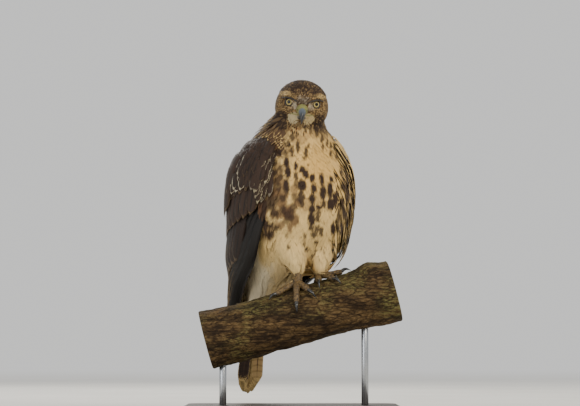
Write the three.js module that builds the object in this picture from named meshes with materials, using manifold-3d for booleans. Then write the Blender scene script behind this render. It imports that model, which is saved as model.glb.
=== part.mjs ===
// Juvenile red-tailed hawk, still and life size, on a cut length of branch held by a plain display stand.
// Millimetres, +Z up, the camera side is -Y. The origin is the centre of the base's underside.
// The bird has a frame of its own: X to its left, Y towards its back, Z up, heights counted from the floor.
import * as THREE from "three";
import { mergeVertices } from "three/addons/utils/BufferGeometryUtils.js";
import Module from "manifold-3d";

const wasm = await Module();
wasm.setup();

// Driving dimensions
const GAP = 0.3;
const BODY_TURN = 32;
const BIRD_X = 12;
const BIRD_Y = 12;
const HEAD_CENTRE = [0, -6, 478];
const HEAD_TURN = -30;
const HEAD_NOD = 6;
const HEAD_TILT = 5;
const FOOT_X = 20;
const FOOT_Y = -29;
const BRANCH_RADIUS = 43.5;
const BRANCH_SLOPE = 15;
const BRANCH_MIDDLE_Z = 149.3;
const BRANCH_Y = -12;
const BRANCH_ENDS = [-132, 158];
const BASE = { width: 330, depth: 210, thick: 16, corner: 24, bevel: 2 };
const ROD_RADIUS = 5.5;
const ROD_X = [-106, 112];

const rad = THREE.MathUtils.degToRad;
const lerp = THREE.MathUtils.lerp;
const vec = (x, y, z) => new THREE.Vector3(x, y, z);

// A repeatable sequence of numbers from 0 to 1
function sequence(seed) {
  let state = seed;
  return () => {
    state = (state * 16807) % 2147483647;
    return state / 2147483647;
  };
}

// Smooth values between the rows of a table whose first column is the place
function through(rows) {
  const slope = (i, k) => {
    const before = rows[Math.max(i - 1, 0)];
    const after = rows[Math.min(i + 1, rows.length - 1)];
    return (after[k] - before[k]) / (after[0] - before[0]);
  };
  return (place) => {
    const t = THREE.MathUtils.clamp(place, rows[0][0], rows.at(-1)[0]);
    let i = 0;
    while (i < rows.length - 2 && t > rows[i + 1][0]) i++;
    const step = rows[i + 1][0] - rows[i][0];
    const s = (t - rows[i][0]) / step;
    const [s2, s3] = [s * s, s * s * s];
    return rows[i].slice(1).map((value, n) => {
      const k = n + 1;
      const ends = value * (2 * s3 - 3 * s2 + 1) + rows[i + 1][k] * (3 * s2 - 2 * s3);
      return ends + step * (slope(i, k) * (s3 - 2 * s2 + s) + slope(i + 1, k) * (s3 - s2));
    });
  };
}

// A closed geometry as a solid, turned face out if it was wound the other way
function solidOf(geometry) {
  const bare = new THREE.BufferGeometry();
  bare.setAttribute("position", geometry.getAttribute("position"));
  bare.setIndex(geometry.index);
  const merged = mergeVertices(bare, 1e-4);
  const solid = (triVerts) =>
    new wasm.Manifold(
      new wasm.Mesh({ numProp: 3, vertProperties: merged.attributes.position.array, triVerts }),
    );
  const made = solid(new Uint32Array(merged.index.array));
  if (made.volume() > 0) return made;
  return solid(new Uint32Array(merged.index.array).reverse());
}

function geometryOf(solid) {
  const mesh = solid.getMesh();
  const geometry = new THREE.BufferGeometry();
  geometry.setAttribute("position", new THREE.BufferAttribute(mesh.vertProperties, 3));
  geometry.setIndex(new THREE.BufferAttribute(mesh.triVerts, 1));
  return geometry;
}

const joined = (solids) => solids.reduce((sum, next) => sum.add(next));

// The largest closed surface of a solid, without loose scraps
function largest(solid) {
  return solid.decompose().reduce((best, next) => (next.volume() > best.volume() ? next : best));
}

// A closed skin over a row of rings that have the same number of points
function loft(rings) {
  const points = rings.flat();
  const count = rings[0].length;
  const faces = [];
  for (let r = 0; r < rings.length - 1; r++) {
    for (let k = 0; k < count; k++) {
      const [a, b] = [r * count + k, r * count + ((k + 1) % count)];
      faces.push(a, b, b + count, a, b + count, a + count);
    }
  }
  for (const [start, flip] of [[0, true], [points.length - count, false]]) {
    const middle = points.length;
    const centre = vec(0, 0, 0);
    for (let k = 0; k < count; k++) centre.addScaledVector(points[start + k], 1 / count);
    points.push(centre);
    for (let k = 0; k < count; k++) {
      const [a, b] = [start + k, start + ((k + 1) % count)];
      faces.push(...(flip ? [middle, b, a] : [middle, a, b]));
    }
  }
  const geometry = new THREE.BufferGeometry().setFromPoints(points);
  geometry.setIndex(faces);
  return solidOf(geometry);
}

// A level ring: half width a, reach to the front and to the back, and how square its corners are
function levelRing(z, y, a, front, back, count, square = 1) {
  const power = (v) => Math.sign(v) * Math.abs(v) ** square;
  return Array.from({ length: count }, (_, k) => {
    const angle = (2 * Math.PI * k) / count;
    const [c, s] = [power(Math.cos(angle)), power(Math.sin(angle))];
    return vec(a * c, y + (s < 0 ? front : back) * s, z);
  });
}

// A round bar along points with a radius for each, flattened by squash across the up direction
function bar(points, radii, up, sides, squash = 1) {
  const rings = points.map((p, i) => {
    const ahead = points[Math.min(i + 1, points.length - 1)].clone();
    const along = ahead.sub(points[Math.max(i - 1, 0)]).normalize();
    const side = vec().crossVectors(along, up).normalize();
    const top = vec().crossVectors(side, along);
    return Array.from({ length: sides }, (_, k) => {
      const angle = (2 * Math.PI * k) / sides;
      return p
        .clone()
        .addScaledVector(side, radii[i] * Math.cos(angle))
        .addScaledVector(top, radii[i] * squash * Math.sin(angle));
    });
  });
  return loft(rings);
}

// Torso: height, middle, half width, reach to the breast and reach to the back
const TORSO = through([
  [198, 86, 14, 14, 16],
  [210, 76, 34, 36, 38],
  [225, 62, 48, 56, 50],
  [245, 48, 64, 74, 62],
  [272, 32, 77, 82, 72],
  [305, 20, 85, 82, 76],
  [340, 14, 87, 78, 75],
  [372, 14, 82, 72, 70],
  [405, 14, 70, 60, 62],
  [430, 12, 61, 49, 60],
  [448, 8, 51, 43, 54],
  [470, 0, 40, 34, 42],
]);
const TORSO_HEIGHTS = [198, 210, 225, 245, 272, 305, 340, 372, 405, 430, 448, 470];

// Rump and the fluffed coverts at the root of the tail: height, middle, half width, half depth
const RUMP = through([
  [146, 128, 23, 5],
  [160, 121, 27, 11],
  [180, 111, 31, 20],
  [205, 97, 37, 30],
  [235, 78, 46, 40],
  [262, 60, 52, 46],
]);

function torso(grow = 0) {
  const heights = TORSO_HEIGHTS.flatMap((z, i, all) =>
    i + 1 < all.length ? [z, (z + all[i + 1]) / 2] : [z],
  );
  return loft(
    heights.map((z) => {
      const [y, a, front, back] = TORSO(z);
      return levelRing(z, y, a + grow, front + grow, back + grow, 28, 0.92);
    }),
  );
}

function rump(grow = 0) {
  const heights = [146, 153, 160, 170, 180, 192, 205, 220, 235, 250, 262];
  return loft(
    heights.map((z) => {
      const [y, a, b] = RUMP(z);
      return levelRing(z, y, a + grow, b + grow, b + grow, 20, 0.92);
    }),
  );
}

// Feathered thigh on one side: height, sideways, back, half width, half depth
const THIGH = through([
  [214, 20, -29, 9, 9],
  [220, 20, -28, 12, 13],
  [232, 22, -23, 19, 21],
  [248, 26, -15, 26, 28],
  [268, 31, -4, 31, 34],
  [286, 34, 4, 30, 32],
]);

function thigh(side, grow = 0) {
  const heights = [214, 220, 226, 232, 240, 248, 258, 268, 286];
  const rings = heights.map((z) => {
    const [x, y, a, b] = THIGH(z);
    const ring = levelRing(z, y, a + grow, b + grow, b + grow, 18);
    ring.forEach((p) => (p.x += side * x));
    return ring;
  });
  return loft(rings);
}

// Head frame: X to its left, -Y along the bill, Z up, origin in the middle of the skull
const HEAD_RADII = { side: 43.5, face: 45, nape: 45, crown: 43, chin: 41 };
const EYE = { x: 18.5, y: -29, z: 5.5, ball: 8.4, lid: 7.2, lidThick: 1.5, out: 34 };
const HEAD_FORMS = [
  { at: [20, -34, 19], rise: 2.6, spread: 0.26 },
  { at: [24, -28, 5], rise: -3.6, spread: 0.24 },
  { at: [13, -40, -2], rise: -2.2, spread: 0.2 },
  { at: [34, -16, -14], rise: 1.6, spread: 0.4 },
  { at: [14, -34, -26], rise: -2.0, spread: 0.35 },
];

// The head's surface in a direction: an egg of five radii with brows, eye hollows and cheeks on it
function headPoint(direction, grow) {
  const d = direction.clone().normalize();
  const [fore, high] = [
    d.y < 0 ? HEAD_RADII.face : HEAD_RADII.nape,
    d.z > 0 ? HEAD_RADII.crown : HEAD_RADII.chin,
  ];
  let reach = 1 / Math.hypot(d.x / HEAD_RADII.side, d.y / fore, d.z / high);
  for (const { at, rise, spread } of HEAD_FORMS) {
    const near = vec(at[0] * Math.sign(d.x || 1), at[1], at[2]).angleTo(d);
    reach += rise * Math.exp(-((near / spread) ** 2));
  }
  return d.multiplyScalar(reach + grow);
}

const headMatrix = new THREE.Matrix4().compose(
  vec(...HEAD_CENTRE),
  new THREE.Quaternion().setFromEuler(
    new THREE.Euler(rad(HEAD_NOD), rad(HEAD_TILT), rad(HEAD_TURN), "ZYX"),
  ),
  vec(1, 1, 1),
);
const onBird = (solid) => solid.transform(headMatrix.elements);

function headEgg(grow = 0) {
  const geometry = new THREE.IcosahedronGeometry(1, 6);
  geometry.deleteAttribute("normal");
  geometry.deleteAttribute("uv");
  const merged = mergeVertices(geometry, 1e-4);
  const position = merged.getAttribute("position");
  for (let i = 0; i < position.count; i++) {
    const p = headPoint(vec().fromBufferAttribute(position, i), grow);
    position.setXYZ(i, p.x, p.y, p.z);
  }
  return solidOf(merged);
}

const eyeCentre = (side) => vec(side * EYE.x, EYE.y, EYE.z);
const eyeWay = (side) => vec(side * Math.sin(rad(EYE.out)), -Math.cos(rad(EYE.out)), 0.05).normalize();

function ball(centre, radius, across, down) {
  const geometry = new THREE.SphereGeometry(radius, across, down);
  geometry.translate(centre.x, centre.y, centre.z);
  geometry.deleteAttribute("normal");
  geometry.deleteAttribute("uv");
  return solidOf(mergeVertices(geometry, 1e-4));
}

// Raised rim of the lids round an eye
function lidRing(side) {
  const geometry = new THREE.TorusGeometry(EYE.lid, EYE.lidThick, 5, 13);
  const turn = new THREE.Quaternion().setFromUnitVectors(vec(0, 0, 1), eyeWay(side));
  const middle = eyeCentre(side).addScaledVector(eyeWay(side), EYE.ball * 0.52);
  geometry.applyQuaternion(turn);
  geometry.translate(middle.x, middle.y, middle.z);
  geometry.deleteAttribute("normal");
  geometry.deleteAttribute("uv");
  return solidOf(mergeVertices(geometry, 1e-4));
}

// Bony brow that overhangs an eye, from beside the cere out to behind the eye
function brow(side) {
  const points = [
    [8, -41, 9],
    [14, -40, 12.5],
    [21, -36.5, 14.8],
    [28, -30, 15],
    [33, -22, 12.5],
  ].map(([x, y, z]) => vec(side * x, y, z));
  return bar(points, [1.5, 3, 3.6, 3.4, 1.5], vec(0, 0, 1), 6, 0.6);
}

// Bill pieces: rows of place along the bill, half width and half height, in the head frame
function billBar(rows, sides = 14) {
  const rings = rows.map(([y, z, width, height, lean]) =>
    Array.from({ length: sides }, (_, k) => {
      const angle = (2 * Math.PI * k) / sides;
      const [c, s] = [Math.cos(angle), Math.sin(angle)];
      const rise = height * s;
      return vec(width * c, y - rise * Math.sin(rad(lean)), z + rise * Math.cos(rad(lean)));
    }),
  );
  return loft(rings);
}

const CERE_ROWS = [
  [-36, -5, 9.4, 9.6, 0],
  [-43, -5, 9.2, 9.2, 6],
  [-48.5, -5.6, 8.2, 8.6, 14],
  [-51.5, -6.4, 7.4, 7.9, 20],
];
const MAXILLA_ROWS = [
  [-51.9, -6.6, 7.2, 7.6, 20],
  [-56, -8.2, 6.3, 7.0, 34],
  [-59.5, -11.2, 5.1, 6.0, 52],
  [-61.8, -15.2, 3.8, 4.7, 68],
  [-63.0, -19.6, 2.5, 3.2, 80],
  [-63.0, -24.0, 1.2, 1.7, 92],
  [-62.3, -27.0, 0.4, 0.5, 100],
];
const MANDIBLE_ROWS = [
  [-38, -17.0, 7.2, 3.6, 0],
  [-46, -17.4, 6.2, 3.4, 0],
  [-53, -17.6, 4.4, 2.8, 0],
  [-57.6, -17.6, 2.0, 1.6, 0],
];

function nostril(side) {
  const points = [vec(side * 3.5, -48, -4.5), vec(side * 7, -49.5, -4.2), vec(side * 11, -51.5, -4)];
  return bar(points, [1.5, 1.7, 1.9], vec(0, 0, 1), 8, 0.8);
}

// Fleshy corner of the mouth, from the bill back to below the eye
function gape(side) {
  const points = [
    [6.6, -51, -13.2],
    [10.5, -45, -12.6],
    [14.6, -38.6, -12],
    [18.6, -33.5, -11.4],
  ].map(([x, y, z]) => vec(side * x, y, z));
  return bar(points, [1.3, 1.7, 1.7, 1.2], vec(0, 0, 1), 8, 0.75);
}

// Wing sheet on the left side: place down the wing, height, then sideways and back of the front edge,
// of the bulge and of the back edge
const WING = through([
  [0.0, 432, 42, -8, 58, 26, 30, 62],
  [0.08, 410, 60, -12, 77, 30, 34, 76],
  [0.18, 378, 75, -17, 87, 45, 34, 86],
  [0.3, 340, 81, -15, 87, 58, 30, 94],
  [0.45, 290, 81, -3, 83, 68, 26, 105],
  [0.58, 245, 75, 16, 76, 86, 24, 118],
  [0.7, 205, 55, 84, 59, 109, 20, 135],
  [0.84, 150, 40, 130, 38, 142, 14, 154],
  [1.0, 84, 27, 163, 25, 168, 8, 173],
]);

function wingPlace(u, v) {
  const [z, fx, fy, px, py, dx, dy] = WING(v);
  const [cx, cy] = [2 * px - (fx + dx) / 2, 2 * py - (fy + dy) / 2];
  const [a, b, c] = [(1 - u) ** 2, 2 * u * (1 - u), u * u];
  return vec(a * fx + b * cx + c * dx, a * fy + b * cy + c * dy, z);
}

function wingNormal(u, v) {
  const step = 0.01;
  const across = wingPlace(u + step, v).sub(wingPlace(u - step, v));
  const down = wingPlace(u, Math.min(v + step, 1)).sub(wingPlace(u, Math.max(v - step, 0)));
  return vec().crossVectors(down, across).normalize();
}

// A feather: frames along its shaft, each with its half widths on both sides of the shaft
function vane(frames, thick, droop) {
  const rings = frames.map(({ at, side, up, wide, narrow }) => {
    const edge = (reach) =>
      at.clone().addScaledVector(side, reach).addScaledVector(up, -droop * Math.abs(reach));
    const [left, right] = [edge(wide), edge(-narrow)];
    const level = (p, rise) => p.clone().addScaledVector(up, rise);
    const half = thick / 2;
    return [
      level(left, half),
      level(at, half + 0.25 * thick),
      level(right, half),
      level(right, -half),
      level(at, -half + 0.25 * thick),
      level(left, -half),
    ];
  });
  return ribbon(rings);
}

// A strip of six-sided rings with both faces split the same way, so that a thin one can't cross itself
function ribbon(rings) {
  const points = rings.flat();
  const faces = [];
  const quad = (a, b, c, d) => faces.push(a, b, c, a, c, d);
  for (let r = 0; r < rings.length - 1; r++) {
    const [n, m] = [r * 6, r * 6 + 6];
    quad(n, n + 1, m + 1, m);
    quad(n + 1, n + 2, m + 2, m + 1);
    quad(n + 2, n + 3, m + 3, m + 2);
    faces.push(n + 3, n + 4, m + 3, n + 4, m + 4, m + 3);
    faces.push(n + 4, n + 5, m + 4, n + 5, m + 5, m + 4);
    quad(n + 5, n, m, m + 5);
  }
  const last = points.length - 6;
  faces.push(0, 5, 4, 0, 4, 1, 1, 4, 3, 1, 3, 2);
  faces.push(last, last + 4, last + 5, last, last + 1, last + 4);
  faces.push(last + 1, last + 3, last + 4, last + 1, last + 2, last + 3);
  const geometry = new THREE.BufferGeometry().setFromPoints(points);
  geometry.setIndex(faces);
  return solidOf(geometry);
}

// Outline of a feather: place along it, and the share of its full half width
const LONG_OUTLINE = [
  [0, 0.5],
  [0.3, 0.92],
  [0.72, 1],
  [0.93, 0.74],
  [1, 0.2],
];
const SHORT_OUTLINE = [
  [0, 0.6],
  [0.5, 1],
  [0.88, 0.8],
  [1, 0.24],
];

const VANE = { thick: 0.8, droop: 0.06, sunk: -3.5, risen: 0.3 };

// A feather of the folded wing, whose root is sunk in the flesh
function wingVane({ root, tip, width, lift, tilt, outline }) {
  const place = (t) => [lerp(root[0], tip[0], t), lerp(root[1], tip[1], t)];
  const rise = (t) => lerp(VANE.sunk, lift, Math.min(1, t / VANE.risen));
  const point = (t) => {
    const [u, v] = place(t);
    return wingPlace(u, v).addScaledVector(wingNormal(u, v), rise(t));
  };
  const frames = outline.map(([t, share]) => {
    const along = point(Math.min(t + 0.02, 1)).sub(point(Math.max(t - 0.02, 0))).normalize();
    const flat = wingNormal(...place(t));
    const side = vec().crossVectors(flat, along).normalize();
    const up = vec().crossVectors(along, side);
    side.applyAxisAngle(along, rad(tilt));
    up.applyAxisAngle(along, rad(tilt));
    return { at: point(t), side, up, wide: width * 0.55 * share, narrow: width * 0.45 * share };
  });
  return vane(frames, VANE.thick, VANE.droop);
}

// Tiers of the folded wing. Each runs from its first feather at the front to its last at the back:
// root and tip as [across, down] on the wing sheet, reach past the tips in the middle, width, lift
// off the sheet, and tilt that lays each feather over the one behind it
const TIERS = [
  {
    count: 5,
    root: [[0.05, 0.33], [0.4, 0.42]],
    tip: [[0.16, 0.9], [0.8, 0.8]],
    reach: 0.12,
    width: [20, 22],
    lift: [2, -8],
    tilt: 8,
    outline: LONG_OUTLINE,
  },
  {
    count: 6,
    root: [[0.16, 0.38], [0.88, 0.45]],
    tip: [[0.24, 0.6], [0.86, 0.76]],
    width: [31, 29],
    lift: [4.4, 4.8],
    tilt: 10,
    outline: LONG_OUTLINE,
  },
  {
    count: 6,
    root: [[0.06, 0.22], [0.84, 0.36]],
    tip: [[0.07, 0.4], [0.86, 0.56]],
    width: [31, 31],
    lift: [7.4, 7.8],
    tilt: 10,
    outline: SHORT_OUTLINE,
  },
  {
    count: 6,
    root: [[0.08, 0.1], [0.68, 0.22]],
    tip: [[0.09, 0.25], [0.72, 0.39]],
    width: [29, 29],
    lift: [10, 10.4],
    tilt: 10,
    outline: SHORT_OUTLINE,
  },
  {
    count: 5,
    root: [[0.34, 0.03], [0.9, 0.2]],
    tip: [[0.5, 0.18], [0.93, 0.5]],
    width: [32, 32],
    lift: [12.4, 12],
    tilt: 9,
    outline: SHORT_OUTLINE,
  },
];

const FLESH = { inner: -24, low: -7, swell: 8.5 };

// Flesh of the folded wing that carries the feathers, down to less than half of its length
function wingCore() {
  const down = [0.0, 0.05, 0.12, 0.2, 0.28, 0.36, 0.43, 0.48];
  const across = [0.0, 0.14, 0.28, 0.42, 0.56, 0.7, 0.84, 1.0];
  const rings = down.map((v, i) => {
    const shut = Math.sin(Math.PI * Math.min(1, (i + 0.6) / 3) * 0.5) * (i > 5 ? 1 - 0.3 * (i - 5) : 1);
    const outer = across.map((u) => {
      const round = Math.sin(Math.PI * (0.1 + 0.8 * u)) ** 0.5;
      return wingPlace(u, v).addScaledVector(wingNormal(u, v), FLESH.low + FLESH.swell * shut * round);
    });
    const inner = across.map((u) => wingPlace(u, v).addScaledVector(wingNormal(u, v), FLESH.inner));
    return [...outer, ...inner.reverse()];
  });
  return loft(rings);
}

function wing(side, body) {
  const random = sequence(side > 0 ? 71 : 29);
  const vanes = TIERS.flatMap((tier) =>
    Array.from({ length: tier.count }, (_, i) => {
      const k = i / (tier.count - 1);
      const mix = (pair) => [lerp(pair[0][0], pair[1][0], k), lerp(pair[0][1], pair[1][1], k)];
      const [root, tip] = [mix(tier.root), mix(tier.tip)];
      tip[1] += (tier.reach ?? 0) * Math.sin(Math.PI * (0.15 + 0.8 * k)) + 0.012 * (random() - 0.5);
      return wingVane({
        root,
        tip,
        width: lerp(...tier.width, k) * (0.97 + 0.06 * random()),
        lift: lerp(...tier.lift, k),
        tilt: tier.tilt,
        outline: tier.outline,
      });
    }),
  );
  const made = joined([wingCore(), ...vanes]);
  const placed = side > 0 ? made : made.mirror([1, 0, 0]);
  return largest(placed.subtract(body));
}

// Middle of the folded tail: height, then distance back
const TAIL_BACK = through([
  [30, 158],
  [60, 154],
  [84, 150],
  [110, 142],
  [150, 126],
  [193, 104],
  [215, 92],
]);
const TAIL = { tip: 30, root: 186, pairs: 6, shorter: 3.4, width: 17, step: 1.2, thick: 0.7 };

// One tail feather: the pair number counts from the middle pair, on the back, to the outer pair below
function tailVane(side, pair) {
  const second = side < 0 && pair === 0;
  const tip = TAIL.tip + TAIL.shorter * pair + (second ? 2 : 0);
  const layer = -TAIL.step * (second ? 0.95 : pair && pair + 1);
  const middle = side * (pair === 0 ? 2.5 : 9.2 + 1.25 * pair);
  const frames = LONG_OUTLINE.map(([t, share]) => {
    const z = lerp(TAIL.root, tip, t);
    const [back] = TAIL_BACK(z);
    const along = vec(0, TAIL_BACK(z - 2)[0] - TAIL_BACK(z + 2)[0], -4).normalize();
    const up = vec(0, -along.z, along.y);
    const spread = middle * lerp(0.55, 1, t);
    const at = vec(spread, back, z).addScaledVector(up, 3.4 + layer - 0.035 * Math.abs(spread));
    const half = (TAIL.width / 2) * share * lerp(0.75, 1, t);
    return { at, side: vec(1, 0, 0), up, wide: half, narrow: half };
  });
  return vane(frames, TAIL.thick, 0.03);
}

// Coverts that lie over the root of the tail, above and below it
function tailCovert(face, x, z, length) {
  const frames = SHORT_OUTLINE.map(([t, share]) => {
    const height = z - length * t;
    const [back] = TAIL_BACK(height);
    const [, , depth] = RUMP(height);
    const along = vec(0, TAIL_BACK(height - 2)[0] - TAIL_BACK(height + 2)[0], -4).normalize();
    const up = vec(0, -along.z * face, along.y * face);
    const off = Math.max(depth * 0.75, 6.5) * lerp(0.8, 1, Math.min(1, t * 2));
    const at = vec(x, back, height).addScaledVector(up, off);
    return { at, side: vec(1, 0, 0), up, wide: 8 * share, narrow: 8 * share };
  });
  return vane(frames, 1, 0.1);
}

const TAIL_CUT = { z: 189, lean: 22 };

// The parts above and below a thin cut
function parted(solid, y, z, lean) {
  const normal = [0, -Math.sin(rad(lean)), Math.cos(rad(lean))];
  const offset = normal[1] * y + normal[2] * z;
  return {
    above: largest(solid.trimByPlane(normal, offset + GAP / 2)),
    below: largest(solid.trimByPlane(normal.map((n) => -n), -offset + GAP / 2)),
  };
}

function tail(core) {
  const vanes = [];
  for (const side of [1, -1]) {
    for (let pair = 0; pair < TAIL.pairs; pair++) vanes.push(tailVane(side, pair));
  }
  for (const x of [-12, 12]) {
    vanes.push(tailCovert(1, x, 176, 44));
    vanes.push(tailCovert(-1, x, 178, 48));
  }
  return largest(joined([core, ...vanes]));
}

// Branch: a sawn length of rough limb that climbs to +X, with one old knot on its upper side
const slope = Math.tan(rad(BRANCH_SLOPE));
const branchMiddle = (x) => vec(x, BRANCH_Y, BRANCH_MIDDLE_Z + slope * x);
const branchWay = vec(Math.cos(rad(BRANCH_SLOPE)), 0, Math.sin(rad(BRANCH_SLOPE)));
const branchUp = vec(-branchWay.z, 0, branchWay.x);
const KNOT = { x: 128, angle: 0, rise: 9, long: 20, round: 0.6 };

function branchReach(x, angle) {
  const wave = 1.1 * Math.sin(3 * angle + x / 31) + 0.9 * Math.sin(5 * angle - x / 17);
  const knot = Math.exp(-(((x - KNOT.x) / KNOT.long) ** 2) - ((angle - KNOT.angle) / KNOT.round) ** 2);
  const wide = 3 * (x / 150) ** 2;
  return BRANCH_RADIUS + wave * 0.8 + KNOT.rise * knot + wide;
}

// A point on the branch: distance along it as X, angle from its top towards -Y, height off the bark
function onBranch(x, angle, height) {
  const reach = branchReach(x, angle) + height;
  return branchMiddle(x)
    .addScaledVector(branchUp, reach * Math.cos(angle))
    .addScaledVector(vec(0, -1, 0), reach * Math.sin(angle));
}

function branch(grow = 0) {
  const sides = 22;
  const steps = 17;
  const rings = Array.from({ length: steps + 1 }, (_, i) => {
    const x = lerp(BRANCH_ENDS[0], BRANCH_ENDS[1], i / steps);
    return Array.from({ length: sides }, (_, k) => {
      const angle = (2 * Math.PI * k) / sides;
      return onBranch(x, angle > Math.PI ? angle - 2 * Math.PI : angle, grow);
    });
  });
  return loft(rings);
}

const birdMatrix = new THREE.Matrix4().makeRotationZ(rad(BODY_TURN)).setPosition(BIRD_X, BIRD_Y, 0);
const toBird = birdMatrix.clone().invert();

// Where a point of the bird's frame is over the branch: distance along it and angle round it
function branchPlace(point) {
  const world = point.clone().applyMatrix4(birdMatrix);
  const angle = Math.asin((BRANCH_Y - world.y) / BRANCH_RADIUS);
  return { x: world.x - BRANCH_RADIUS * Math.cos(angle) * branchUp.x, angle };
}

// Toes: heading in degrees from the camera side towards +X, length, radius, and the claw's length
const TOES = {
  right: [
    { name: "hallux", heading: 192, length: 27, radius: 4.6, claw: 24 },
    { name: "inner", heading: 30, length: 26, radius: 4.5, claw: 22 },
    { name: "middle", heading: -14, length: 38, radius: 4.5, claw: 20 },
    { name: "outer", heading: -70, length: 38, radius: 4.2, claw: 17 },
  ],
  left: [
    { name: "hallux", heading: 205, length: 27, radius: 4.6, claw: 24 },
    { name: "inner", heading: -6, length: 26, radius: 4.5, claw: 22 },
    { name: "middle", heading: 32, length: 38, radius: 4.5, claw: 20 },
    { name: "outer", heading: 84, length: 36, radius: 4.2, claw: 17 },
  ],
};

// A point that far from the foot along a heading, laid over the branch, in the bird's frame
function toePoint(start, heading, distance, height) {
  const along = start.x + distance * Math.sin(rad(heading)) * branchWay.x;
  const angle = start.angle + (distance * Math.cos(rad(heading))) / BRANCH_RADIUS;
  return onBranch(along, angle, height).applyMatrix4(toBird);
}

const TOE_HEIGHTS = [
  [0, 7.5, 1.25],
  [0.2, 6.6, 1.05],
  [0.45, 5.6, 1.1],
  [0.6, 5.2, 0.92],
  [0.8, 4.6, 1.05],
  [1, 4.2, 0.82],
];

function toe(start, { heading, length, radius }, grow) {
  const points = TOE_HEIGHTS.map(([t, height]) => toePoint(start, heading, t * (length + grow), height));
  const up = onBranch(start.x, start.angle, 1).sub(onBranch(start.x, start.angle, 0));
  const radii = TOE_HEIGHTS.map(([, , share]) => share * radius + grow);
  return bar(points, radii, up.transformDirection(toBird), 8);
}

const CLAW_HEIGHTS = [
  [0, 4.6, 1],
  [0.22, 6.2, 0.92],
  [0.48, 6.6, 0.72],
  [0.74, 4.6, 0.45],
  [1, 1.0, 0.1],
];

function claw(start, { heading, length, radius, claw: reach }) {
  const points = CLAW_HEIGHTS.map(([t, height]) =>
    toePoint(start, heading, length - 0.5 + t * reach * 0.86, height),
  );
  const up = onBranch(start.x, start.angle, 1).sub(onBranch(start.x, start.angle, 0));
  const radii = CLAW_HEIGHTS.map(([, , share]) => share * radius * 0.68);
  return bar(points, radii, up.transformDirection(toBird), 6);
}

// Bare shank, the knuckle under it and the toes that spread from it
function footForm(side, start, toes, grow = 0) {
  const heel = toePoint(start, 0, 0, 8);
  const shank = bar(
    [heel, vec(side * FOOT_X, FOOT_Y, heel.z + 10), vec(side * FOOT_X, FOOT_Y + 1, 240)],
    [6.6 + grow, 5.4 + grow, 6 + grow],
    vec(0, 1, 0),
    10,
  );
  return joined([shank, ball(heel, 7.4 + grow, 10, 7), ...toes.map((t) => toe(start, t, grow))]);
}

function stand() {
  const { width, depth, thick, corner, bevel } = BASE;
  const [w, d] = [width / 2 - bevel, depth / 2 - bevel];
  const outline = new THREE.Shape();
  outline.moveTo(-w + corner, -d);
  outline.absarc(w - corner, -d + corner, corner, -Math.PI / 2, 0);
  outline.absarc(w - corner, d - corner, corner, 0, Math.PI / 2);
  outline.absarc(-w + corner, d - corner, corner, Math.PI / 2, Math.PI);
  outline.absarc(-w + corner, -d + corner, corner, Math.PI, 1.5 * Math.PI);
  const plate = new THREE.ExtrudeGeometry(outline, {
    depth: thick - 2 * bevel,
    bevelThickness: bevel,
    bevelSize: bevel,
    bevelSegments: 1,
    curveSegments: 4,
  });
  plate.translate(0, 0, bevel);
  return solidOf(plate);
}

function rod(x, limb) {
  const height = branchMiddle(x).z - BASE.thick;
  const shaft = new THREE.CylinderGeometry(ROD_RADIUS, ROD_RADIUS, height, 24);
  shaft.rotateX(Math.PI / 2);
  shaft.translate(x, BRANCH_Y, BASE.thick + GAP + height / 2);
  return largest(solidOf(shaft).subtract(limb));
}

// Materials
const finish = (color, roughness, metalness = 0) =>
  new THREE.MeshStandardMaterial({ color, roughness, metalness });
const FINISH = {
  brown: finish(0x4a3526, 0.85),
  headBrown: finish(0x6b5038, 0.85),
  buff: finish(0xd6b988, 0.9),
  tailBrown: finish(0x7d6248, 0.8),
  cere: finish(0xa8a548, 0.5),
  bill: finish(0x55606a, 0.35),
  iris: finish(0xd8b24a, 0.1),
  foot: finish(0xb08a3c, 0.6),
  claw: finish(0x1c1a1a, 0.3),
  bark: finish(0x4d3a26, 0.95),
  plate: finish(0x2b2724, 0.4),
  steel: finish(0x8d9094, 0.3, 1),
};

const group = new THREE.Group();
const bird = new THREE.Group();
bird.rotation.z = rad(BODY_TURN);
bird.position.set(BIRD_X, BIRD_Y, 0);
group.add(bird);

function show(parent, name, solid, material) {
  const mesh = new THREE.Mesh(geometryOf(solid), material);
  mesh.name = name;
  parent.add(mesh);
}

// Head with brows and lids, parted from the neck, and the pieces of its bill and eyes
const SIDES = { left: 1, right: -1 };
const sides = Object.values(SIDES);
const eyes = sides.map((s) => ball(eyeCentre(s), EYE.ball, 14, 9));
const sockets = sides.map((s) => ball(eyeCentre(s), EYE.ball + GAP, 14, 9));
const skull = joined([headEgg(), ...sides.map(brow), ...sides.map(lidRing)]).subtract(joined(sockets));
const cereBar = joined([billBar(CERE_ROWS), ...sides.map(gape)]);
const cereGrown = joined([
  billBar(CERE_ROWS.map(([y, z, w, h, lean]) => [y + 1, z, w + GAP, h + GAP, lean])),
]);
const mandibleBar = billBar(MANDIBLE_ROWS, 12);
const bill = {
  cere: largest(cereBar.subtract(headEgg(GAP)).subtract(joined(sides.map(nostril)))),
  maxilla: billBar(MAXILLA_ROWS),
};
bill.mandible = largest(
  mandibleBar
    .subtract(headEgg(GAP))
    .subtract(billBar(MAXILLA_ROWS.map(([y, z, w, h, lean]) => [y, z, w + GAP, h + GAP, lean])))
    .subtract(cereGrown),
);

const NECK_CUT = { y: 4, z: 446, lean: -14 };
const CHEST_CUT = { y: 14, z: 416, lean: -10 };
const BELLY_CUT = { y: 30, z: 300, lean: 8 };
const RUMP_CUT = { y: 70, z: 236, lean: 40 };

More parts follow.
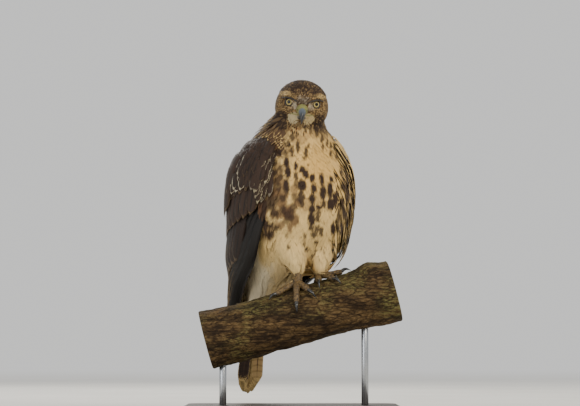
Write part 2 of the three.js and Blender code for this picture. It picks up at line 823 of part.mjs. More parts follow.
const trunk = joined([torso(), rump(), onBird(skull)]);
const head = parted(trunk, NECK_CUT.y, NECK_CUT.z, NECK_CUT.lean);
const neck = parted(head.below, CHEST_CUT.y, CHEST_CUT.z, CHEST_CUT.lean);
const breast = parted(neck.below, BELLY_CUT.y, BELLY_CUT.z, BELLY_CUT.lean);
const belly = parted(breast.below, RUMP_CUT.y, RUMP_CUT.z, RUMP_CUT.lean);
const rear = parted(belly.below, TAIL_BACK(TAIL_CUT.z)[0], TAIL_CUT.z, TAIL_CUT.lean);

const trunkGrown = joined([torso(GAP), rump(GAP)]);
show(bird, "head", head.above, FINISH.headBrown);
show(bird, "neck", neck.above, FINISH.headBrown);
show(bird, "breast", breast.above, FINISH.buff);
show(bird, "belly", belly.above, FINISH.buff);
show(bird, "rump", rear.above, FINISH.buff);
show(bird, "tail", tail(rear.below), FINISH.tailBrown);
show(bird, "cere", onBird(bill.cere), FINISH.cere);
show(bird, "bill_upper", onBird(bill.maxilla), FINISH.bill);
show(bird, "bill_lower", onBird(bill.mandible), FINISH.bill);

const limb = branch();
const limbGrown = branch(GAP).transform(toBird.elements);
for (const [name, side] of Object.entries(SIDES)) {
  show(bird, `eye_${name}`, onBird(eyes[sides.indexOf(side)]), FINISH.iris);
  show(bird, `wing_${name}`, wing(side, trunkGrown), FINISH.brown);
  show(bird, `thigh_${name}`, largest(thigh(side).subtract(trunkGrown)), FINISH.buff);
  const start = branchPlace(vec(side * FOOT_X, FOOT_Y, 200));
  const covers = joined([thigh(side, GAP), trunkGrown, limbGrown]);
  show(bird, `foot_${name}`, largest(footForm(side, start, TOES[name]).subtract(covers)), FINISH.foot);
  const footGrown = footForm(side, start, TOES[name], GAP);
  for (const t of TOES[name]) {
    const trimmed = claw(start, t).subtract(limbGrown).subtract(footGrown);
    show(bird, `claw_${name}_${t.name}`, largest(trimmed), FINISH.claw);
  }
}

show(group, "branch", limb, FINISH.bark);
show(group, "stand_base", stand(), FINISH.plate);
ROD_X.forEach((x, i) => show(group, `stand_rod_${i + 1}`, rod(x, branch(GAP)), FINISH.steel));

export default group;
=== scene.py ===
# Juvenile red-tailed hawk on a cut length of branch and a plain display stand.
# Forms are worked out in millimetres in the bird's own frame, as its solids are, and placed in metres.
import math
import bpy
import numpy as np
from mathutils import Euler, Matrix, Vector, noise
from mathutils.bvhtree import BVHTree


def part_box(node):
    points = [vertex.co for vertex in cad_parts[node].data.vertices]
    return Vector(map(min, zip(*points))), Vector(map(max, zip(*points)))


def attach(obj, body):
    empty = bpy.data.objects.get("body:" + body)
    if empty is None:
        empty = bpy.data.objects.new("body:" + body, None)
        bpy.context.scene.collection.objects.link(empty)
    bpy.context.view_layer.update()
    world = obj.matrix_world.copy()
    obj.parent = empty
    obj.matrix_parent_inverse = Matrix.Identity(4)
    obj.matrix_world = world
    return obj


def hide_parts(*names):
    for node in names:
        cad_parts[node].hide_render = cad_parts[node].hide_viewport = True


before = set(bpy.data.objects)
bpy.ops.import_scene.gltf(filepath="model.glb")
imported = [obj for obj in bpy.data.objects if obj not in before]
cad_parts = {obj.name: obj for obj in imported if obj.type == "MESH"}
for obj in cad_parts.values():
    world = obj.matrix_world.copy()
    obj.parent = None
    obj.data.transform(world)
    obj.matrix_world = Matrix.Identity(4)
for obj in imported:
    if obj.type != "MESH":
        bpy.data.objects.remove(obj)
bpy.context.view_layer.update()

# Driving dimensions, millimetres and degrees
BODY_TURN = 32
BIRD_AT = (12, 12)
HEAD_CENTRE = (0, -6, 478)
HEAD_TURNS = (6, 5, -30)
FOOT_X = 20
FOOT_Y = -29
BRANCH_RADIUS = 43.5
BRANCH_SLOPE = 15
BRANCH_MIDDLE_Z = 149.3
BRANCH_Y = -12
BRANCH_ENDS = (-132, 158)
BASE = {"width": 330, "depth": 210, "thick": 16, "corner": 24, "bevel": 2.4}
ROD_RADIUS = 5.5
ROD_X = (-106, 112)
MM = 0.001
GAP = 0.3

# The coat: the skin's grid in metres, the points tried on it, and the most feathers in one piece
SKIN_GRID = 0.0021
COAT_TRIES = 60000
MOST_FEATHERS = 2000

# The photo's frame in pixels, and the camera: metres across the frame at the bird, metres to the bird, and
# degrees that it looks up from below
PHOTO = {"width": 580, "height": 406}
VIEW = {"x": -0.003, "z": 0.3276, "width": 0.899, "away": 3.2, "down": 4.0}

SIDES = {"left": 1, "right": -1}
MIRROR = np.array([-1, 1, 1])

rng = np.random.default_rng(7)


# Vectors and tables

def unit(v):
    return v / np.maximum(np.linalg.norm(v, axis=-1, keepdims=True), 1e-9)


def smooth(low, high, value):
    t = np.clip((value - low) / (high - low), 0, 1)
    return t * t * (3 - 2 * t)


def mix(a, b, share):
    return np.asarray(a) + (np.asarray(b) - np.asarray(a)) * share


def through(rows):
    """Smooth values between the rows of a table whose first column is the place"""
    table = np.array(rows, float)
    at, values = table[:, 0], table[:, 1:]
    slope = np.empty_like(values)
    slope[1:-1] = (values[2:] - values[:-2]) / (at[2:] - at[:-2])[:, None]
    slope[0] = (values[1] - values[0]) / (at[1] - at[0])
    slope[-1] = (values[-1] - values[-2]) / (at[-1] - at[-2])

    def look(place):
        t = np.clip(np.asarray(place, float), at[0], at[-1])
        i = np.clip(np.searchsorted(at, t, side="right") - 1, 0, len(at) - 2)
        step = (at[i + 1] - at[i])[..., None]
        s = (t - at[i])[..., None] / step
        s2, s3 = s * s, s * s * s
        ends = values[i] * (2 * s3 - 3 * s2 + 1) + values[i + 1] * (3 * s2 - 2 * s3)
        return ends + step * (slope[i] * (s3 - 2 * s2 + s) + slope[i + 1] * (s3 - s2))

    return look


def linear(code):
    """A colour written as an sRGB hex number, as linear light"""
    shares = np.array([(code >> shift & 255) / 255 for shift in (16, 8, 0)])
    return np.where(shares <= 0.04045, shares / 12.92, ((shares + 0.055) / 1.055) ** 2.4)


# Frames: head to bird, and bird to world

HEAD = np.array(Euler([math.radians(a) for a in HEAD_TURNS], "XYZ").to_matrix())
TURN = np.array(Matrix.Rotation(math.radians(BODY_TURN), 3, "Z"))


def head_to_bird(points):
    return points @ HEAD.T + np.array(HEAD_CENTRE)


def bird_to_head(points):
    return (points - np.array(HEAD_CENTRE)) @ HEAD


def to_world(points):
    return (points @ TURN.T + np.array([*BIRD_AT, 0])) * MM


def to_bird(points):
    return (points / MM - np.array([*BIRD_AT, 0])) @ TURN


# Meshes

def linked(name, data):
    """An object in the scene that shows a mesh, light or camera"""
    piece = bpy.data.objects.new(name, data)
    bpy.context.collection.objects.link(piece)
    return piece


def build(name, points, faces, in_bird=True):
    """An object from points in the bird's frame, or in the world's millimetres"""
    mesh = bpy.data.meshes.new(name)
    placed = to_world(points) if in_bird else points * MM
    mesh.from_pydata(placed.tolist(), [], [list(face) for face in faces])
    mesh.validate()
    mesh.update()
    mesh.shade_smooth()
    return linked(name, mesh)


def ride(piece, slot, material, *nodes):
    piece.data.materials.clear()
    piece.data.materials.append(material)
    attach(piece, "root")
    if nodes:
        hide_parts(*nodes)
    return piece


def store(piece, label, values, kind="FLOAT"):
    """Numbers, vectors or colours kept at the points of a piece"""
    field = {"FLOAT": "value", "FLOAT_VECTOR": "vector", "FLOAT_COLOR": "color"}[kind]
    layer = piece.data.attributes.new(label, kind, "POINT")
    layer.data.foreach_set(field, np.asarray(values, np.float32).ravel())


def store_colour(piece, label, colours):
    opaque = np.ones((*colours.shape[:-1], 1))
    store(piece, label, np.concatenate([colours, opaque], -1), "FLOAT_COLOR")


def circle(count):
    """Angles of points evenly round a ring"""
    return np.linspace(0, 2 * np.pi, count, endpoint=False)


def loft(rings):
    """Points and faces of a closed skin over rings that have the same number of points"""
    rows, count = rings.shape[:2]
    faces = []
    for r in range(rows - 1):
        for k in range(count):
            a, b = r * count + k, r * count + (k + 1) % count
            faces.append((a, b, b + count, a + count))
    last = (rows - 1) * count
    faces.append(tuple(range(count))[::-1])
    faces.append(tuple(range(last, last + count)))
    return rings.reshape(-1, 3), faces


def level_rings(z, y, a, front, back, count, square=1.0):
    """Level rings at heights z, with half widths a and their own depths in front and behind"""
    angle = circle(count)[None]
    c = np.sign(np.cos(angle)) * np.abs(np.cos(angle)) ** square
    s = np.sign(np.sin(angle)) * np.abs(np.sin(angle)) ** square
    reach = np.where(s < 0, front[:, None], back[:, None])
    return np.stack([a[:, None] * c, y[:, None] + reach * s, np.repeat(z[:, None], count, 1)], -1)


def bar(points, radii, up, sides, squash=1.0):
    """Rings of a round bar along points, flattened across the up direction"""
    points = np.array(points, float)
    radii = np.array(radii, float)[:, None, None]
    along = unit(np.gradient(points, axis=0))
    side = unit(np.cross(along, np.array(up, float)))
    top = np.cross(side, along)
    angle = circle(sides)[None, :, None]
    ring = side[:, None] * np.cos(angle) + squash * top[:, None] * np.sin(angle)
    return points[:, None] + radii * ring


def finer(points, radii, steps):
    """A row of points and radii drawn again with more steps on a smooth curve"""
    look = through(np.column_stack([np.arange(len(points)), points, radii]))
    drawn = look(np.linspace(0, len(points) - 1, steps))
    return drawn[:, :3], drawn[:, 3]


def strand(side, points, radii, steps, up, sides, squash, grow=0.0):
    """A closed round strand along points that are given for the left side"""
    points, radii = finer([(side * x, y, z) for x, y, z in points], radii, steps)
    return loft(bar(points, radii + grow, up, sides, squash))


def joined(name, parts, in_bird=True):
    """One object from several parts of points and faces"""
    points, faces, start = [], [], 0
    for some, these in parts:
        points.append(some)
        faces += [tuple(i + start for i in face) for face in these]
        start += len(some)
    return build(name, np.concatenate(points), faces, in_bird)


# Form of the body, as in the solids, from rows of heights
# TORSO: [z, middle y, half width, depth in front, depth behind]
# RUMP: [z, middle y, half width, half depth]. THIGH: [z, middle x, middle y, half width, half depth]
# TAIL_BACK: [z, y]

TORSO = through([
    [198, 86, 14, 14, 16],
    [210, 76, 34, 36, 38],
    [225, 62, 48, 56, 50],
    [245, 48, 64, 74, 62],
    [272, 32, 77, 82, 72],
    [305, 20, 85, 82, 76],
    [340, 14, 87, 78, 75],
    [372, 14, 82, 72, 70],
    [405, 14, 70, 60, 62],
    [430, 12, 61, 49, 60],
    [448, 8, 51, 43, 54],
    [470, 0, 40, 34, 42],
])
RUMP = through([
    [146, 128, 23, 5],
    [160, 121, 27, 11],
    [180, 111, 31, 20],
    [205, 97, 37, 30],
    [235, 78, 46, 40],
    [262, 60, 52, 46],
])
THIGH = through([
    [214, 20, -29, 9, 9],
    [220, 20, -28, 12, 13],
    [232, 22, -23, 19, 21],
    [248, 26, -15, 26, 28],
    [268, 31, -4, 31, 34],
    [286, 34, 4, 30, 32],
])
TAIL_BACK = through([
    [30, 158],
    [60, 154],
    [84, 150],
    [110, 142],
    [150, 126],
    [193, 104],
    [215, 92],
])
HEAD_RADII = {"side": 43.5, "face": 45, "nape": 45, "crown": 43, "chin": 41}
EYE = {"x": 18.5, "y": -29, "z": 5.5, "ball": 8.4, "out": 34, "look": 22}
# Rises and hollows of the head: the way to each from its middle, the height, and the spread in radians
HEAD_FORMS = [
    ((20, -34, 19), 2.6, 0.26),
    ((24, -28, 5), -3.6, 0.24),
    ((13, -40, -2), -2.2, 0.2),
    ((34, -16, -14), 1.6, 0.4),
    ((14, -34, -26), -2.0, 0.35),
]
BROW_LINE = [(8, -41, 9), (14, -40, 12.5), (21, -36.5, 14.8), (28, -30, 15), (33, -22, 12.5)]
INSET = {"torso": 4.5, "rump": 2.0, "thigh": 4.0, "head": 2.4, "brow": 0.6}


def head_egg(grow, rings=72, sides=96):
    """The head's surface: an egg of five radii with brows, eye hollows and cheeks on it"""
    polar = np.linspace(0.02, np.pi - 0.02, rings)[:, None]
    turn = circle(sides)[None]
    d = np.stack([
        np.sin(polar) * np.cos(turn),
        np.sin(polar) * np.sin(turn),
        np.repeat(-np.cos(polar), sides, 1),
    ], -1)
    fore = np.where(d[..., 1] < 0, HEAD_RADII["face"], HEAD_RADII["nape"])
    high = np.where(d[..., 2] > 0, HEAD_RADII["crown"], HEAD_RADII["chin"])
    reach = 1 / np.sqrt(
        (d[..., 0] / HEAD_RADII["side"]) ** 2 + (d[..., 1] / fore) ** 2 + (d[..., 2] / high) ** 2
    )
    for at, rise, spread in HEAD_FORMS:
        for side in (1, -1):
            way = unit(np.array([at[0] * side, at[1], at[2]], float))
            near = np.arccos(np.clip(d @ way, -1, 1))
            mine = np.where(np.sign(d[..., 0]) * side >= 0, 1.0, 0.0)
            reach = reach + mine * rise * np.exp(-((near / spread) ** 2))
    return loft(d * (reach + grow)[..., None])


def brow(side):
    return strand(side, BROW_LINE, [1.5, 3, 3.6, 3.4, 1.5], 16, (0, 0, 1), 12, 0.6, -INSET["brow"])


def body_forms():
    """Closed surfaces of torso, rump, thighs and head, each inside the solids by its coat's depth"""
    z = np.linspace(198, 470, 60)
    y, *radii = TORSO(z).T
    a, front, back = (np.maximum(radius - INSET["torso"], 5) for radius in radii)
    yield loft(level_rings(z, y, a, front, back, 72, 0.92))
    z = np.linspace(152, 262, 34)
    y, a, b = RUMP(z).T
    b = np.maximum(b - INSET["rump"], 2.0)
    yield loft(level_rings(z, y, a - INSET["rump"], b, b, 48, 0.92))
    for side in SIDES.values():
        z = np.linspace(216, 286, 30)
        x, y, a, b = THIGH(z).T
        b = b - INSET["thigh"]
        rings = level_rings(z, y, a - INSET["thigh"], b, b, 40)
        rings[..., 0] += side * x[:, None]
        yield loft(rings)
    for points, faces in [head_egg(-INSET["head"]), brow(1), brow(-1)]:
        yield head_to_bird(points), faces


def applied(piece):
    """The object's mesh with its modifiers applied and taken off"""
    graph = bpy.context.evaluated_depsgraph_get()
    mesh = bpy.data.meshes.new_from_object(piece.evaluated_get(graph))
    old = piece.data
    piece.modifiers.clear()
    piece.data = mesh
    bpy.data.meshes.remove(old)
    return piece


def mesh_points(piece):
    flat = np.empty(len(piece.data.vertices) * 3, np.float32)
    piece.data.vertices.foreach_get("co", flat)
    return to_bird(flat.reshape(-1, 3).astype(float))


def evened(piece, turns, group=""):
    """The piece with its modifiers applied and its points evened out, all of them or a group's"""
    even = piece.modifiers.new("even", "SMOOTH")
    even.factor = 0.5
    even.iterations = turns
    even.vertex_group = group
    return applied(piece)


def make_skin():
    """One skin over the body's forms, evened most where the legs, belly and rump meet"""
    piece = joined("skin", body_forms())
    remesh = piece.modifiers.new("remesh", "REMESH")
    remesh.mode = "VOXEL"
    remesh.voxel_size = SKIN_GRID
    evened(piece, 7)
    low = piece.vertex_groups.new(name="low")
    for i, share in enumerate(smooth(312, 285, mesh_points(piece)[:, 2])):
        low.add([i], share, "REPLACE")
    evened(piece, 70, "low")
    piece.data.shade_smooth()
    return piece


# Plumage: colours and sizes of the feathers at each place of the bird

COLOUR = {name: linear(code) for name, code in {
    "buff": 0xCFB074,
    # gold is used only for the painted warm light on the middle of the breast
    "gold": 0xCDA45C,
    "cream": 0xD8C8A0,
    "white": 0xE6DABC,
    "umber": 0x2F2016,
    "dark": 0x241811,
    "black": 0x15110E,
    "brown": 0x4A3626,
    "rufous": 0x80522C,
    "tan": 0x96794F,
    "grey": 0x8A8070,
    "edge": 0x67543A,
}.items()}

# Markings of the breast as soft ellipses in the photo's frame: across, down, half sizes, and share marked.
# One blotch is partly painted shade.
NARROW = [(346, 190, 12, 52, 0.9), (275, 142, 14, 14, 0.7)]
DROPS = [
    (279, 152.5, 2.6, 3.2, 1), (286.5, 162, 2.5, 5, 1), (292, 152, 1.8, 4.6, 0.9),
    (286, 153.5, 1.2, 2.6, 0.8), (298, 147, 1.8, 6, 0.9), (296.7, 134.5, 1.2, 2.4, 0.8),
    (291.8, 137, 2.6, 3.4, 0.85), (288, 143.5, 2, 2.6, 0.8), (306, 152, 1.5, 4.8, 0.9),
    (308.7, 146, 1.1, 2.4, 0.8), (303.8, 157.5, 1.1, 2, 0.8), (308.4, 165, 1.1, 1.6, 0.8),
    (296, 165.6, 1.8, 4, 1), (305, 128, 1.3, 4, 0.7), (311, 130, 1.5, 4.5, 0.7),
    (316.5, 132, 1.4, 5, 0.75), (322, 138, 1.4, 4, 0.85), (322.8, 146.5, 1.2, 2.8, 0.9),
    (327, 143.5, 1.2, 3, 0.9), (331, 153.4, 1.2, 3, 0.9), (331, 145.5, 1.1, 2.6, 0.9),
    (334.7, 147, 1.2, 3.4, 0.9), (336.5, 155, 1.3, 4, 0.9), (288, 172, 3, 5.4, 1),
    (286.5, 185.5, 2.8, 7, 1), (302.3, 170, 2.7, 3.4, 1), (306, 174.5, 3, 4, 1),
    (301.8, 185.5, 4, 5.5, 1), (296, 176, 2, 5, 0.9), (312.5, 178, 2.4, 4.2, 1),
    (313.8, 188.5, 2.6, 4.8, 1), (321.7, 179.5, 2.1, 6.4, 1), (323, 193, 3, 6, 1), (330, 190, 2.8, 7, 1),
    (331.3, 179, 1.5, 3.4, 1), (335.6, 198, 2.4, 5.5, 1), (331, 204.6, 3.2, 6, 1),
    (311.9, 199, 2.7, 4.4, 1), (312, 209, 3, 4.6, 1), (319.4, 207, 3, 2.6, 1), (318.6, 213.5, 3, 3, 0.9),
    (324, 204, 2, 4, 0.9), (311.7, 219.2, 3.4, 6, 1), (317.5, 219, 2.4, 3, 0.9),
    (311, 228, 2.6, 2.6, 0.9), (317, 229, 3, 2.6, 0.9), (321, 231.5, 2.2, 4, 0.9), (314, 235, 3, 3, 0.9),
    (316.3, 242.2, 1.6, 2.6, 1), (306.7, 250, 1.7, 2.8, 1), (304, 243.7, 1.4, 2.4, 0.9),
    (304.8, 235.5, 1.2, 2.6, 0.8), (314.8, 252.6, 1.3, 2.5, 0.9), (311.7, 257.5, 1.2, 3, 0.9),
    (312.5, 264.4, 1.1, 2, 0.8), (322, 249, 1, 1.6, 0.8), (324, 253.6, 1, 1.6, 0.8),
    (333.2, 229, 2.1, 6, 1), (334, 243.5, 1.2, 2.6, 1), (333, 251, 1.2, 2.6, 1),
    (333, 259.5, 1, 2.6, 0.9), (288, 247, 1.4, 2.6, 0.9), (286.5, 234.5, 1.3, 2.6, 0.7),
    (301, 198, 3.4, 6, 0.95), (301.8, 205, 2.4, 3.4, 0.9), (272, 162.5, 4.2, 4.6, 0.95),
    (272.7, 172.5, 4.6, 3.6, 0.95), (267.4, 187, 5, 5, 0.95), (264.5, 178.6, 3, 3.4, 0.9),
    (270.4, 204, 4.8, 5.6, 0.95), (262.8, 216, 3, 5, 0.9), (267.4, 225.3, 6.4, 3.6, 0.95),
    (268, 235, 5.4, 3.8, 0.95), (288, 214, 3.6, 4.6, 0.8), (341, 172, 1.5, 5, 0.95),
    (345.5, 168, 1.3, 5.5, 0.95), (347.5, 177, 1.5, 5.5, 0.95), (342, 186, 2.2, 5.6, 0.95),
    (347, 187, 1.8, 6, 0.95), (352, 184, 1.2, 7, 0.95), (347, 198, 2.2, 6, 0.95),
    (341.5, 203, 2, 6, 0.95), (353, 201, 1.3, 6.5, 0.95), (344, 213, 2, 6.4, 0.95),
    (349.5, 211, 1.5, 6, 0.95), (339, 216, 1.8, 5.5, 0.95), (347, 223, 1.5, 6, 0.95),
    (342, 230, 1.5, 6.5, 0.95), (337.5, 228, 1.4, 5, 0.9), (278, 187, 3, 4, 0.8),
    (282, 198, 3.4, 3.4, 0.8), (276, 200, 3, 3, 0.8), (283, 210, 3, 4, 0.8), (291, 217, 3, 4, 0.8),
    (274, 213, 4, 4, 0.8), (270, 194, 4, 4, 0.85), (281, 176, 2.4, 3.6, 0.8), (277, 180.5, 3, 3, 0.8),
    (293, 207, 2.6, 4, 0.75), (286, 222, 3, 3, 0.7), (295, 197, 3, 4, 0.7), (275, 228, 4, 2.6, 0.8),
    (280, 169, 2.6, 2.8, 0.8), (296, 184, 2, 3.6, 0.75), (266, 208, 4, 4, 0.9), (262, 200, 3.4, 6, 0.9),
]
BLOTCHES = [
    (276, 192, 6, 5, 0.9), (283, 195, 6, 4, 0.85), (282, 203, 5, 6, 0.85), (288, 213, 7, 8, 0.95),
    # The tall blotch at 262 across and 208 down is partly a brown marking and partly painted shade where
    # the breast meets the right wing
    (294, 220, 5, 7, 0.85), (290, 228, 3, 4.6, 0.8), (276, 214, 6, 6, 0.85), (262, 208, 5, 24, 1),
    (280, 225, 5, 4, 0.75), (272, 196, 6, 5, 0.85), (284, 186, 5, 8, 0.75), (297, 203, 4, 5, 0.8),
    (279, 179, 5, 7, 0.75), (272, 150, 6, 8, 0.8), (290, 150, 4, 6, 0.4), (278, 168, 4, 6, 0.6),
    (294, 190, 4, 6, 0.6), (285, 168, 6, 4, 0.4), (272, 182, 5, 6, 0.8), (277, 205, 4, 5, 0.6),
    (299, 140, 8, 5, 0.4), (266, 232, 9, 9, 0.7), (306, 205, 4, 8, 0.4), (318, 200, 8, 10, 0.3),
]

# More places in the photo's frame: the painted warm light on the breast, a pool of light given as a centre
# and half sizes, and the columns of pixels where the white of the belly, the brown of the neck's side and
# the rufous collar begin and end
PAINTED_GLOW = (314, 158, 26, 34)
WHITE_COLUMNS = (282, 262)
BROWN_COLUMNS = (292, 284)
COLLAR_COLUMNS = (290, 296, 318, 311)

# Patches of the head seen from its front, in millimetres: across, up, half sizes, and share marked
BROW_PATCH = [(26, 16.5, 8, 4, 0.65)]
LORE_PATCH = [(11.5, 1, 2.8, 6, 0.45)]
FRONT_PATCH = [(0, 8, 8.5, 5, 0.9)]
MALAR_PATCH = [(27, -17, 9.5, 9, 0.95), (27, -28, 9, 10, 0.8)]
THROAT_PATCH = [(10.5, -16, 8, 6.2, 1.0)]


def photo_place(points):
    """Pixels across and down the photo's frame at which points of the bird are seen"""
    drop = math.radians(VIEW["down"])
    ahead = np.array([0, math.cos(drop), math.sin(drop)])
    top = np.array([0, -math.sin(drop), math.cos(drop)])
    from_camera = to_world(points) - np.array([VIEW["x"], 0, VIEW["z"]]) + ahead * VIEW["away"]
    scale = VIEW["away"] / (VIEW["width"] / PHOTO["width"]) / (from_camera @ ahead)
    px = PHOTO["width"] / 2 + scale * from_camera[:, 0]
    return px, PHOTO["height"] / 2 - scale * (from_camera @ top)


def inside(px, py, ellipses, grow=1.0):
    """The share marked at places by soft ellipses"""
    share = np.zeros(len(px))
    for x, y, rx, ry, most in ellipses:
        reach = np.hypot((px - x) / rx, (py - y) / ry) / grow
        share = np.maximum(share, most * smooth(1.2, 0.8, reach))
    return share


def around(points):
    """Degrees round the body from its breast, and the height, of points in the bird's frame"""
    z = points[:, 2]
    y = mix(TORSO(z)[:, 0], RUMP(z)[:, 0], smooth(245, 215, z))
    return np.degrees(np.arctan2(points[:, 0], -(points[:, 1] - y))), z


def tint(base, colour, share):
    return mix(base, colour, np.asarray(share)[:, None])


class Spots:
    """Points of the skin, with their places on the body, on the head and in the photo, and four chances"""

    def __init__(self, points):
        self.points = points
        self.phi, self.z = around(points)
        self.off = np.abs(self.phi)
        self.head = bird_to_head(points)
        self.px, self.py = photo_place(points)
        self.chance = rng.random((len(points), 4))
        turn = mix(96.0, 148.0, smooth(266, 240, self.z))
        self.back = smooth(turn - 12, turn + 12, self.off)
        self.ruff = smooth(432, 442, self.z) * smooth(470, 456, self.z) * smooth(-52, -76, self.phi)


def blend(looks, share, **values):
    """Moves colours and sizes of the feathers towards other values"""
    for key, value in values.items():
        each = share[:, None] if looks[key].ndim > 1 else share
        looks[key] = mix(looks[key], value, each)


def breast_looks(at):
    """Breast and belly: plain buff, with painted warm light in the middle, and white low on the right side
    """
    n, z, off = len(at.points), at.z, at.off
    x, y, half_width, half_height = PAINTED_GLOW
    # Painted light: a soft pool of warm light on the middle of the breast, given as gold colour
    painted_glow = np.exp(-((at.px - x) / half_width) ** 2 - ((at.py - y) / half_height) ** 2)
    ground = tint(COLOUR["buff"], COLOUR["gold"], painted_glow)
    ground = tint(ground, COLOUR["cream"], 0.25 * smooth(300, 215, z))
    pale = smooth(*WHITE_COLUMNS, at.px) * smooth(262, 235, z)
    ground = tint(ground, COLOUR["white"], 0.75 * pale)
    ground = ground * (0.95 + 0.08 * at.chance[:, :1])
    flank = smooth(42, 62, off) * smooth(96, 84, off) * smooth(412, 392, z) * smooth(270, 300, z)
    return {
        "ground": ground,
        "mark": COLOUR["umber"] * (0.8 + 0.5 * at.chance[:, 1:2]),
        "edge": np.array(ground),
        "width": np.zeros(n),
        "rim": np.zeros(n),
        "length": 26 + 14 * flank + 8 * smooth(320, 270, z),
        "wide": 10.5 - 1 * flank,
        "lift": 4 + 6 * flank,
        "bars": np.zeros(n),
        "rand": at.chance[:, 0],
    }


def side_looks(looks, at):
    """Sides of the neck and breast, brown with buff edges"""
    side = smooth(52, 74, at.off) * smooth(380, 404, at.z)
    side = np.maximum(side, smooth(*BROWN_COLUMNS, at.px) * smooth(402, 420, at.z))
    blend(looks, side, ground=COLOUR["brown"])
    blend(looks, 0.75 * side, edge=COLOUR["buff"])
    looks["rim"] = np.where(side > 0.5, 0.08 + 0.16 * at.chance[:, 1], looks["rim"])


def back_looks(looks, at):
    """Back, from the mantle to the coverts over the tail"""
    back = at.back
    blend(looks, back, ground=COLOUR["brown"], edge=COLOUR["edge"], length=40, wide=18)
    looks["ground"] = looks["ground"] * mix(1, 0.75 + 0.4 * at.chance[:, :1], back[:, None])
    blend(looks, back * smooth(262, 300, at.z), lift=12)
    looks["rim"] = np.where(back > 0.5, 0.1 + 0.16 * at.chance[:, 1], looks["rim"])


def low_looks(looks, at):
    """Coverts under the tail, and the plumes of the thighs"""
    z, off = at.z, at.off
    below = smooth(236, 210, z) * (1 - at.back)
    blend(looks, below, length=52, wide=12)
    blend(looks, below * smooth(50, 80, off), lift=13)
    blend(looks, below * smooth(95, 110, off), ground=COLOUR["cream"])
    thigh = smooth(262, 244, z) * smooth(20, -5, at.points[:, 1])
    blend(looks, thigh, length=50, wide=10, lift=4 + 7 * smooth(244, 228, z))


def neck_looks(looks, at):
    """Neck, with smaller feathers, a ruff at the right and a rufous collar in front"""
    blend(looks, smooth(404, 440, at.z), length=22, wide=8.5, lift=9 + 12 * smooth(30, 80, at.off))
    blend(looks, at.ruff, length=30, lift=20)
    first, full, last, fading = COLLAR_COLUMNS
    collar = smooth(436, 444, at.z) * smooth(first, full, at.px) * smooth(last, fading, at.px)
    blend(looks, 0.55 * collar * at.chance[:, 2], ground=COLOUR["rufous"])


def head_tones(at):
    """Colours of the head, and how far its feathers are of the crown or of a plain patch"""
    hx, hy, hz = np.abs(at.head[:, 0]), at.head[:, 1], at.head[:, 2]
    chance = at.chance
    face = smooth(6, -10, hy)
    tone = mix(COLOUR["umber"], COLOUR["tan"], chance[:, :1] ** 2)
    crown = smooth(-2, 2, hz - 11 - 8 * smooth(12, 25, hx) + 0.25 * np.minimum(hy + 18, 0))
    speckle = 0.8 * smooth(0.8, 0.98, chance[:, 1])[:, None]
    dark = mix(COLOUR["dark"], COLOUR["brown"], 0.6 * chance[:, 1:2])
    tone = tint(tone, mix(dark, COLOUR["tan"], speckle), crown)
    pale = face * inside(hx, hz, BROW_PATCH)
    tone = tint(tone, COLOUR["buff"], pale * smooth(0.1, 0.5, chance[:, 2]))
    lore = face * inside(hx, hz, LORE_PATCH)
    tone = tint(tone, mix(COLOUR["grey"], COLOUR["white"], chance[:, 2:3]), lore)
    front = face * inside(hx, hz, FRONT_PATCH)
    tone = tint(tone, mix(COLOUR["umber"], COLOUR["grey"], chance[:, 2:3] ** 2), front)
    malar = face * inside(hx, hz, MALAR_PATCH)
    tone = tint(tone, COLOUR["dark"], malar * smooth(0.95, 0.6, chance[:, 1]))
    throat = face * inside(hx, hz, THROAT_PATCH)
    throat = smooth(0.1, 0.5, throat - 0.35 * chance[:, 2])
    pouch = mix(COLOUR["cream"], COLOUR["buff"], 0.2 + 0.6 * chance[:, 3:4] * (at.head[:, :1] > 0)) * 0.7
    tone = tint(tone, pouch, throat)
    bib = face * smooth(-25, -29, hz) * smooth(22, 16, hx)
    tone = tint(tone, mix(COLOUR["rufous"], COLOUR["buff"], chance[:, 2:3]), 0.8 * bib)
    return tone, crown, np.maximum.reduce([throat, lore, front, malar])


def head_looks(looks, at):
    """Head, with a streaked crown and cheeks, pale brows, lores and throat, and a dark moustache"""
    hy, hz = at.head[:, 1], at.head[:, 2]
    on_head = (1 - smooth(49, 54, np.linalg.norm(at.head, axis=1))) * smooth(436, 448, at.z)
    tone, crown, plain = head_tones(at)
    edged = 0.85 * smooth(0.45, 0.8, at.chance[:, 3]) * (1 - plain) * (1 - 0.6 * crown)
    edge = tint(tone, COLOUR["buff"], edged)
    blend(looks, on_head, ground=tone, edge=edge, mark=COLOUR["dark"])
    looks["rim"] = np.where(on_head > 0.5, 0.28 * (1 - crown) + 0.12 * crown, looks["rim"])
    streaked = (at.chance[:, 2] < 0.55) & (plain < 0.4) & (on_head > 0.5)
    looks["width"] = np.where(streaked, 0.34, looks["width"])
    size = 6.2 + 5.0 * smooth(-20, 25, hy) + 1.6 * smooth(14, 30, hz) + 4.5 * smooth(-16, -34, hz)
    blend(looks, on_head * (1 - 0.8 * at.ruff), length=size, wide=0.4 * size, lift=9 + 8 * crown)


def plumage(points):
    """Colours and sizes of the feathers at points of the skin"""
    at = Spots(points)
    looks = breast_looks(at)
    for add in (side_looks, back_looks, low_looks, neck_looks, head_looks):
        add(looks, at)
    return looks


def streak(looks, seen):
    """Narrow marks of the flank, given to the feathers whose open ends are seen at these points"""
    phi, z = around(seen)
    chance = rng.random((len(seen), 2))
    front = (np.abs(phi) < 92) & (z < 438) & (z > 214)
    marked = chance[:, 0] < inside(*photo_place(seen), NARROW)
    width = np.where(marked, 0.36 + 0.3 * chance[:, 1], 0)
    looks["width"] = np.where(front & (looks["rim"] < 0.05), width, looks["width"])


